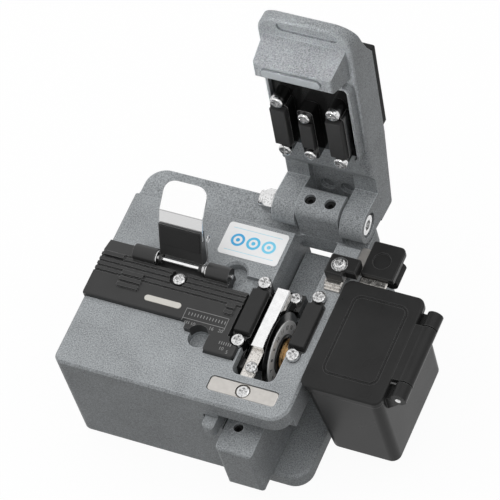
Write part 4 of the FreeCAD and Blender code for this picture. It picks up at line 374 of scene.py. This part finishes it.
# %% Whites
def white(name, level, tint, roughness):
    f = Finish(name)
    grain = f.noise(0.25, 2.0)
    clouds = f.noise(3.0, 2.0)
    tone = ((clouds - 0.5) * 0.9 + (grain - 0.5) * 0.5 + 0.6).clamped()
    f.set(Base_Color=f.blend(tone, shade(level * 0.86, tint), shade(level, tint)), Roughness=roughness)
    f.set(Normal=f.bump(grain, 0.006, 0.4, 0.1))
    return f.material


ring_white = white("ring_white", 0.95, (1.0, 1.0, 1.0), 0.35)
insert_white = white("insert_cream", 0.66, (1.03, 1.0, 0.93), 0.3)
number_ink = black("number_ink", 0.03, 0.5, 0.1, 0.004, 0.02)
print("made whites")

# %% Label drawing
def label_finish():
    f = Finish("label_film")
    x = f.node("ShaderNodeSeparateXYZ", None, {0: f.place}, out="X") / MM - label_mid.x
    y = f.node("ShaderNodeSeparateXYZ", None, {0: f.place}, out="Y") / MM - label_mid.y
    paper = f.blend(f.noise(2.5, 2.0), shade(0.93, (0.99, 0.99, 1.0)), shade(0.99, (0.99, 1.0, 1.0)))
    colour = paper
    blues = ((0.03, 0.42, 0.80, 1.0), (0.08, 0.56, 0.88, 1.0), (0.18, 0.68, 0.94, 1.0))
    for place, blue in zip((-4.4, 0.0, 4.4), blues):
        away = ((x - place) * (x - place) + y * y) ** 0.5
        band = (0.42 - (away - 1.55).size()) * 8.0
        dot = (0.62 - away) * 8.0
        colour = f.blend(band.clamped(), colour, blue)
        colour = f.blend(dot.clamped(), colour, blue)
    stripe = (0.12 - (y.size() - 3.4).size()) * 12.0
    inside = (7.0 - x.size()) * 12.0
    colour = f.blend(stripe.clamped() * inside.clamped(), colour, (0.45, 0.78, 0.92, 1.0))
    f.set(Base_Color=colour, Roughness=0.22, Coat_Weight=0.5 + f.noise(3.0, 1.0) * 0.2)
    f.set(Normal=f.bump(f.noise(1.2, 2.0), 0.01, 0.3))
    return f.material


label_film = label_finish()
print("made", label_film.name)

# %% [markdown]
# ### Dressing the solids
# Each solid keeps its shape and only takes a finish. The table says which, in the words of the parts
# list, and the loop stops with an error if a piece is missing from it.

# %% Give every solid its finish
WEARS = {
    paint: ["housing", "lid", "blade_carriage"],
    rubber: ["lower_left_pad", "lower_right_pad", "upper_left_pad", "upper_right_pad", "anvil_pad",
             "clamp_pad", "collector_drum"],
    sheet_rubber: ["base_pad", "lid_cover"],
    anodised: ["fibre_holder", "clamp_block"],
    gloss_black: ["lower_left_pad_holder", "lower_right_pad_holder", "upper_left_pad_holder",
                  "upper_right_pad_holder", "anvil_block", "upper_pad_base", "blade_block"],
    screw_plate: ["strike_plate_screw", "fibre_holder_screw", "lower_pad_screws", "rest_strip_screw",
                  "blade_block_screw", "upper_pad_screws", "collector_bracket_screw", "clamp_rod_clips",
                  "clamp_spring", "scrap_bin_pin"],
    nut_plate: ["hinge_bolt", "hinge_nut", "hinge_washer"],
    magnet_plate: ["lid_magnet"],
    oxide: ["hinge_set_screws", "carriage_tab_screw", "blade_hub"],
    polished: ["rest_strip", "clamp_rod"],
    leaf_steel: ["clamp_leaf"],
    nickel_step: ["rest_strip_carrier", "collector_latch", "collector_shims"],
    ground: ["strike_plate", "collector_arm_plate"],
    rail_steel: ["slide_rail", "slide_truck", "blade_axle"],
    blade_steel: ["blade"],
    brass: ["blade_bush"],
    ring_white: ["blade_number_ring"],
    insert_white: ["fibre_holder_insert"],
    label_film: ["deck_label"],
    moulded: ["scrap_bin", "scrap_bin_lid", "collector_bracket", "collector_arm"],
}

left_over = set(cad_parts)
for finish, names in WEARS.items():
    for name in names:
        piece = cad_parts[name]
        piece.data.materials.clear()
        piece.data.materials.append(finish)
        left_over.discard(name)
if left_over:
    raise ValueError("no finish for " + ", ".join(sorted(left_over)))
print("dressed", sum(len(n) for n in WEARS.values()), "solids")

# %% [markdown]
# ## Numbers on the ring
# The blade turns through sixteen places, numbered 1 to 16 with their feet towards the hub. A text
# object becomes a mesh first, and then its place goes into the mesh, because the piece itself stays
# at the origin. Joining the sixteen gives one piece that turns with the blade.

# %% A flat word as a mesh
def word(text, height, thickness):
    """Mesh of a short text, centred on the origin in the XY plane, in millimetres."""
    curve = bpy.data.curves.new("word", "FONT")
    curve.body = text
    curve.size = height * 1.4
    curve.align_x = "CENTER"
    curve.align_y = "CENTER"
    curve.extrude = thickness / 2
    curve.resolution_u = 3
    holder = bpy.data.objects.new("word", curve)
    bpy.context.scene.collection.objects.link(holder)
    mesh = bpy.data.meshes.new_from_object(holder.evaluated_get(bpy.context.evaluated_depsgraph_get()))
    bpy.data.objects.remove(holder)
    bpy.data.curves.remove(curve)
    return mesh


def joined(name, meshes, material, body):
    """One piece from several meshes drawn in millimetres, riding on a body."""
    corners, faces = [], []
    for mesh in meshes:
        start = len(corners)
        corners += [tuple(v.co * MM) for v in mesh.vertices]
        faces += [[start + i for i in p.vertices] for p in mesh.polygons]
        bpy.data.meshes.remove(mesh)
    whole = bpy.data.meshes.new(name)
    whole.from_pydata(corners, [], faces)
    whole.materials.append(material)
    whole.update()
    piece = bpy.data.objects.new(name, whole)
    bpy.context.scene.collection.objects.link(piece)
    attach(piece, body)
    return piece


# %% Numbers round the blade
TO_SIDE = Matrix(((0, 0, 1, 0), (1, 0, 0, 0), (0, 1, 0, 0), (0, 0, 0, 1)))
numbers = []
for k in range(16):
    turn = math.tau * k / 16
    digits = word(str((k + 9) % 16 + 1), 1.15, 0.04)
    lift = Matrix.Translation(Vector((0, 7.15, 0.03)))
    around = Matrix.Rotation(-turn, 4, "Z") @ lift
    seat = Matrix.Translation(Vector((ring_face, ring_centre.y, ring_centre.z))) @ TO_SIDE
    digits.transform(seat @ around)
    numbers.append(digits)
ring_numbers = joined("blade_ring_numbers", numbers, number_ink, "blade_wheel")
print("ring numbers:", len(ring_numbers.data.polygons), "faces")

# %% [markdown]
# ## Scale on the fibre holder
# The holder's right end carries a moulded scale: a raised outline, two rows of fine strokes and a few
# figures. The strokes repeat, so a small Geometry Nodes tree makes a row: a line of points, one block
# on each, realised and given its finish. The result is turned into a plain mesh at once.

# %% Row of strokes by Geometry Nodes
def stroke_tree(material):
    tree = bpy.data.node_groups.new("stroke_row", "GeometryNodeTree")
    face = tree.interface
    face.new_socket("Geometry", in_out="INPUT", socket_type="NodeSocketGeometry")
    face.new_socket("Count", in_out="INPUT", socket_type="NodeSocketInt")
    for name in ("Start", "Step", "Block"):
        face.new_socket(name, in_out="INPUT", socket_type="NodeSocketVector")
    face.new_socket("Geometry", in_out="OUTPUT", socket_type="NodeSocketGeometry")
    add = tree.nodes.new
    given = add("NodeGroupInput")
    line = add("GeometryNodeMeshLine")
    line.mode = "OFFSET"
    block = add("GeometryNodeMeshCube")
    copies = add("GeometryNodeInstanceOnPoints")
    real = add("GeometryNodeRealizeInstances")
    paint_it = add("GeometryNodeSetMaterial")
    paint_it.inputs["Material"].default_value = material
    result = add("NodeGroupOutput")
    link = tree.links.new
    link(given.outputs["Count"], line.inputs["Count"])
    link(given.outputs["Start"], line.inputs["Start Location"])
    link(given.outputs["Step"], line.inputs["Offset"])
    link(given.outputs["Block"], block.inputs["Size"])
    link(line.outputs["Mesh"], copies.inputs["Points"])
    link(block.outputs["Mesh"], copies.inputs["Instance"])
    link(copies.outputs["Instances"], real.inputs["Geometry"])
    link(real.outputs["Geometry"], paint_it.inputs["Geometry"])
    link(paint_it.outputs["Geometry"], result.inputs[0])
    return tree


def stroke_row(tree, count, start, step, block):
    """Plain mesh of a row of blocks, in millimetres."""
    carrier = bpy.data.objects.new("row", bpy.data.meshes.new("row"))
    bpy.context.scene.collection.objects.link(carrier)
    modifier = carrier.modifiers.new("row", "NODES")
    modifier.node_group = tree
    values = {"Count": count, "Start": start, "Step": step, "Block": block}
    for item in tree.interface.items_tree:
        if item.in_out == "INPUT" and item.name in values:
            modifier[item.identifier] = values[item.name]
    mesh = bpy.data.meshes.new_from_object(carrier.evaluated_get(bpy.context.evaluated_depsgraph_get()))
    carrier.modifiers.clear()
    bpy.data.objects.remove(carrier)
    return mesh


# %% Holder scale
holder_low, holder_high = box_mm("fibre_holder")
TOP = box_mm("fibre_holder_insert")[1].z - 0.1
HIGH = 0.1
# count, first stroke, step between strokes, and one stroke's width and length
STROKES = (
    (13, (-15.9, 8.9), (0.85, 0.0), (0.22, 0.9)),
    (6, (-4.8, 3.2), (0.62, 0.0), (0.2, 0.9)),
    (3, (-16.0, 6.3), (0.55, 0.0), (0.2, 0.8)),
    (2, (-17.05, 8.5), (11.9, 0.0), (0.14, 3.7)),
    (2, (-11.1, 10.3), (0.0, -2.9), (11.8, 0.14)),
)
FIGURES = (("16", (-8.5, 6.3)), ("10", (-13.7, 6.2)), ("20", (-5.9, 6.3)),
           ("5", (-1.9, 1.0)), ("10", (-3.7, 1.6)))


def on_holder(place):
    """Point on the holder's face, counted from its right front corner."""
    return Vector((holder_high.x + place[0], holder_low.y + place[1], TOP))


mark_ink = black("moulded_mark", 0.26, 0.3, 0.1, 0.004, 0.05, 0.5, 0.6)
row_tree = stroke_tree(mark_ink)
marks = [stroke_row(row_tree, count, on_holder(first), (*step, 0.0), (*block, HIGH))
         for count, first, step, block in STROKES]
for text, place in FIGURES:
    figure = word(text, 1.0, HIGH)
    figure.transform(Matrix.Translation(on_holder(place)))
    marks.append(figure)
holder_scale = joined("fibre_holder_scale", marks, mark_ink, "frame")
print("holder scale:", len(holder_scale.data.polygons), "faces")

# %% [markdown]
# ## Studio
# The tool stands on a pale floor in a soft, even light: a dome that is brighter overhead than at the
# horizon, two large soft lamps above, and a narrow beam that only reaches the open lid. The floor
# glows white to the camera and in reflections, and takes a faint shadow from its own shaded part, so
# the tool still sits on something.

# %% Which rays see the backdrop
def seen_by_lens(node):
    """1 for camera, glossy and transmission rays, made with a node maker."""
    rays = [node("ShaderNodeLightPath", out=ray) for ray in
            ("Is Camera Ray", "Is Glossy Ray", "Is Transmission Ray")]
    return (rays[0] + rays[1] + rays[2]).clamped()


# %% Floor
def floor_finish():
    f = Finish("pale_floor")
    grain = f.noise(40.0, 2.0)
    bounce = f.node("ShaderNodeBsdfDiffuse", None, {"Color": f.blend(grain, shade(0.08), shade(0.10))})
    shown = f.node("ShaderNodeBsdfDiffuse", None, {"Color": f.blend(grain, shade(0.93), shade(0.96))})
    glow = f.node("ShaderNodeEmission", None, {"Color": shade(1.0), "Strength": 1.0})
    white = f.node("ShaderNodeMixShader", None, {0: 0.95, 1: shown, 2: glow})
    mixed = f.node("ShaderNodeMixShader", None, {0: seen_by_lens(f.node), 1: bounce, 2: white})
    f.tree.links.new(mixed.socket, f.tree.nodes["Material Output"].inputs["Surface"])
    return f.material


floor_mesh = bpy.data.meshes.new("floor")
reach = 6.0
floor_mesh.from_pydata([(-reach, -reach, 0), (reach, -reach, 0), (reach, reach, 0), (-reach, reach, 0)],
                       [], [(0, 1, 2, 3)])
floor_mesh.materials.append(floor_finish())
floor = bpy.data.objects.new("floor", floor_mesh)
bpy.context.scene.collection.objects.link(floor)
print("floor made")

# %% Dome of light
HORIZON, OVERHEAD = 0.02, 1.0


class Dome(Finish):
    """The world's node tree, with the same node maker as a finish."""

    def __init__(self, name):
        self.world = bpy.data.worlds.new(name)
        self.world.use_nodes = True
        self.tree = self.world.node_tree
        self.shader = self.tree.nodes["Background"]


dome = Dome("soft_dome")
bpy.context.scene.world = dome.world
direction = dome.node("ShaderNodeNewGeometry", out="Position")
height = dome.node("ShaderNodeSeparateXYZ", None, {0: direction}, out="Z")
sky = dome.blend(height.clamped(), shade(HORIZON), shade(OVERHEAD))
dome.set(Color=dome.blend(seen_by_lens(dome.node), sky, shade(1.0)), Strength=1.0)
print("dome made")


# %% Soft lamps
def soft_lamp(name, place, target, size, watts, spread=180.0):
    """Square lamp at a place in metres; a small spread keeps its light in a beam."""
    lamp = bpy.data.lights.new(name, "AREA")
    lamp.shape = "SQUARE"
    lamp.size = size
    lamp.energy = watts
    lamp.spread = math.radians(spread)
    holder = bpy.data.objects.new(name, lamp)
    holder.location = place
    holder.rotation_euler = (Vector(target) - Vector(place)).to_track_quat("-Z", "Y").to_euler()
    bpy.context.scene.collection.objects.link(holder)
    return holder


soft_lamp("lid_lamp", (-0.05, -0.30, 0.165), (0.018, 0.03, 0.094), 0.05, 0.005, 9.0)
soft_lamp("right_lamp", (0.55, 0.30, 1.05), (0.0, 0.0, 0.03), 1.1, 2.0)
left_lamp = soft_lamp("left_lamp", (-0.55, 0.16, 1.05), (0.0, 0.0, 0.03), 1.1, 3.9)
left_lamp.visible_glossy = False
print("lamps made")

# %% [markdown]
# ## Camera
# A long lens from above the right front corner, rolled a little, shows the tool the way a maker shows
# it in a catalogue. The three axes of the camera are worked out from its angles.

# %% Camera
AZIMUTH, ELEVATION, ROLL = (math.radians(v) for v in (39.44, 55.26, 19.5))
back = Vector((math.sin(AZIMUTH) * math.cos(ELEVATION), -math.cos(AZIMUTH) * math.cos(ELEVATION),
               math.sin(ELEVATION)))
right = (-back).cross(Vector((0, 0, 1))).normalized()
up = right.cross(-back)
lens_x = math.cos(ROLL) * right - math.sin(ROLL) * up
lens_y = math.sin(ROLL) * right + math.cos(ROLL) * up
lens = bpy.data.cameras.new("catalogue_camera")
lens.lens = 252.0
lens.sensor_width = 36.0
lens.clip_start = 0.01
lens.clip_end = 20.0
camera = bpy.data.objects.new("catalogue_camera", lens)
camera.matrix_world = Matrix.Translation(Vector((0.33085, -0.38375, 0.7768))) @ Matrix(
    (lens_x, lens_y, back)).transposed().to_4x4()
bpy.context.scene.collection.objects.link(camera)
bpy.context.scene.camera = camera
bpy.context.scene.view_settings.view_transform = "Standard"
print("camera at", [round(v, 4) for v in camera.location])
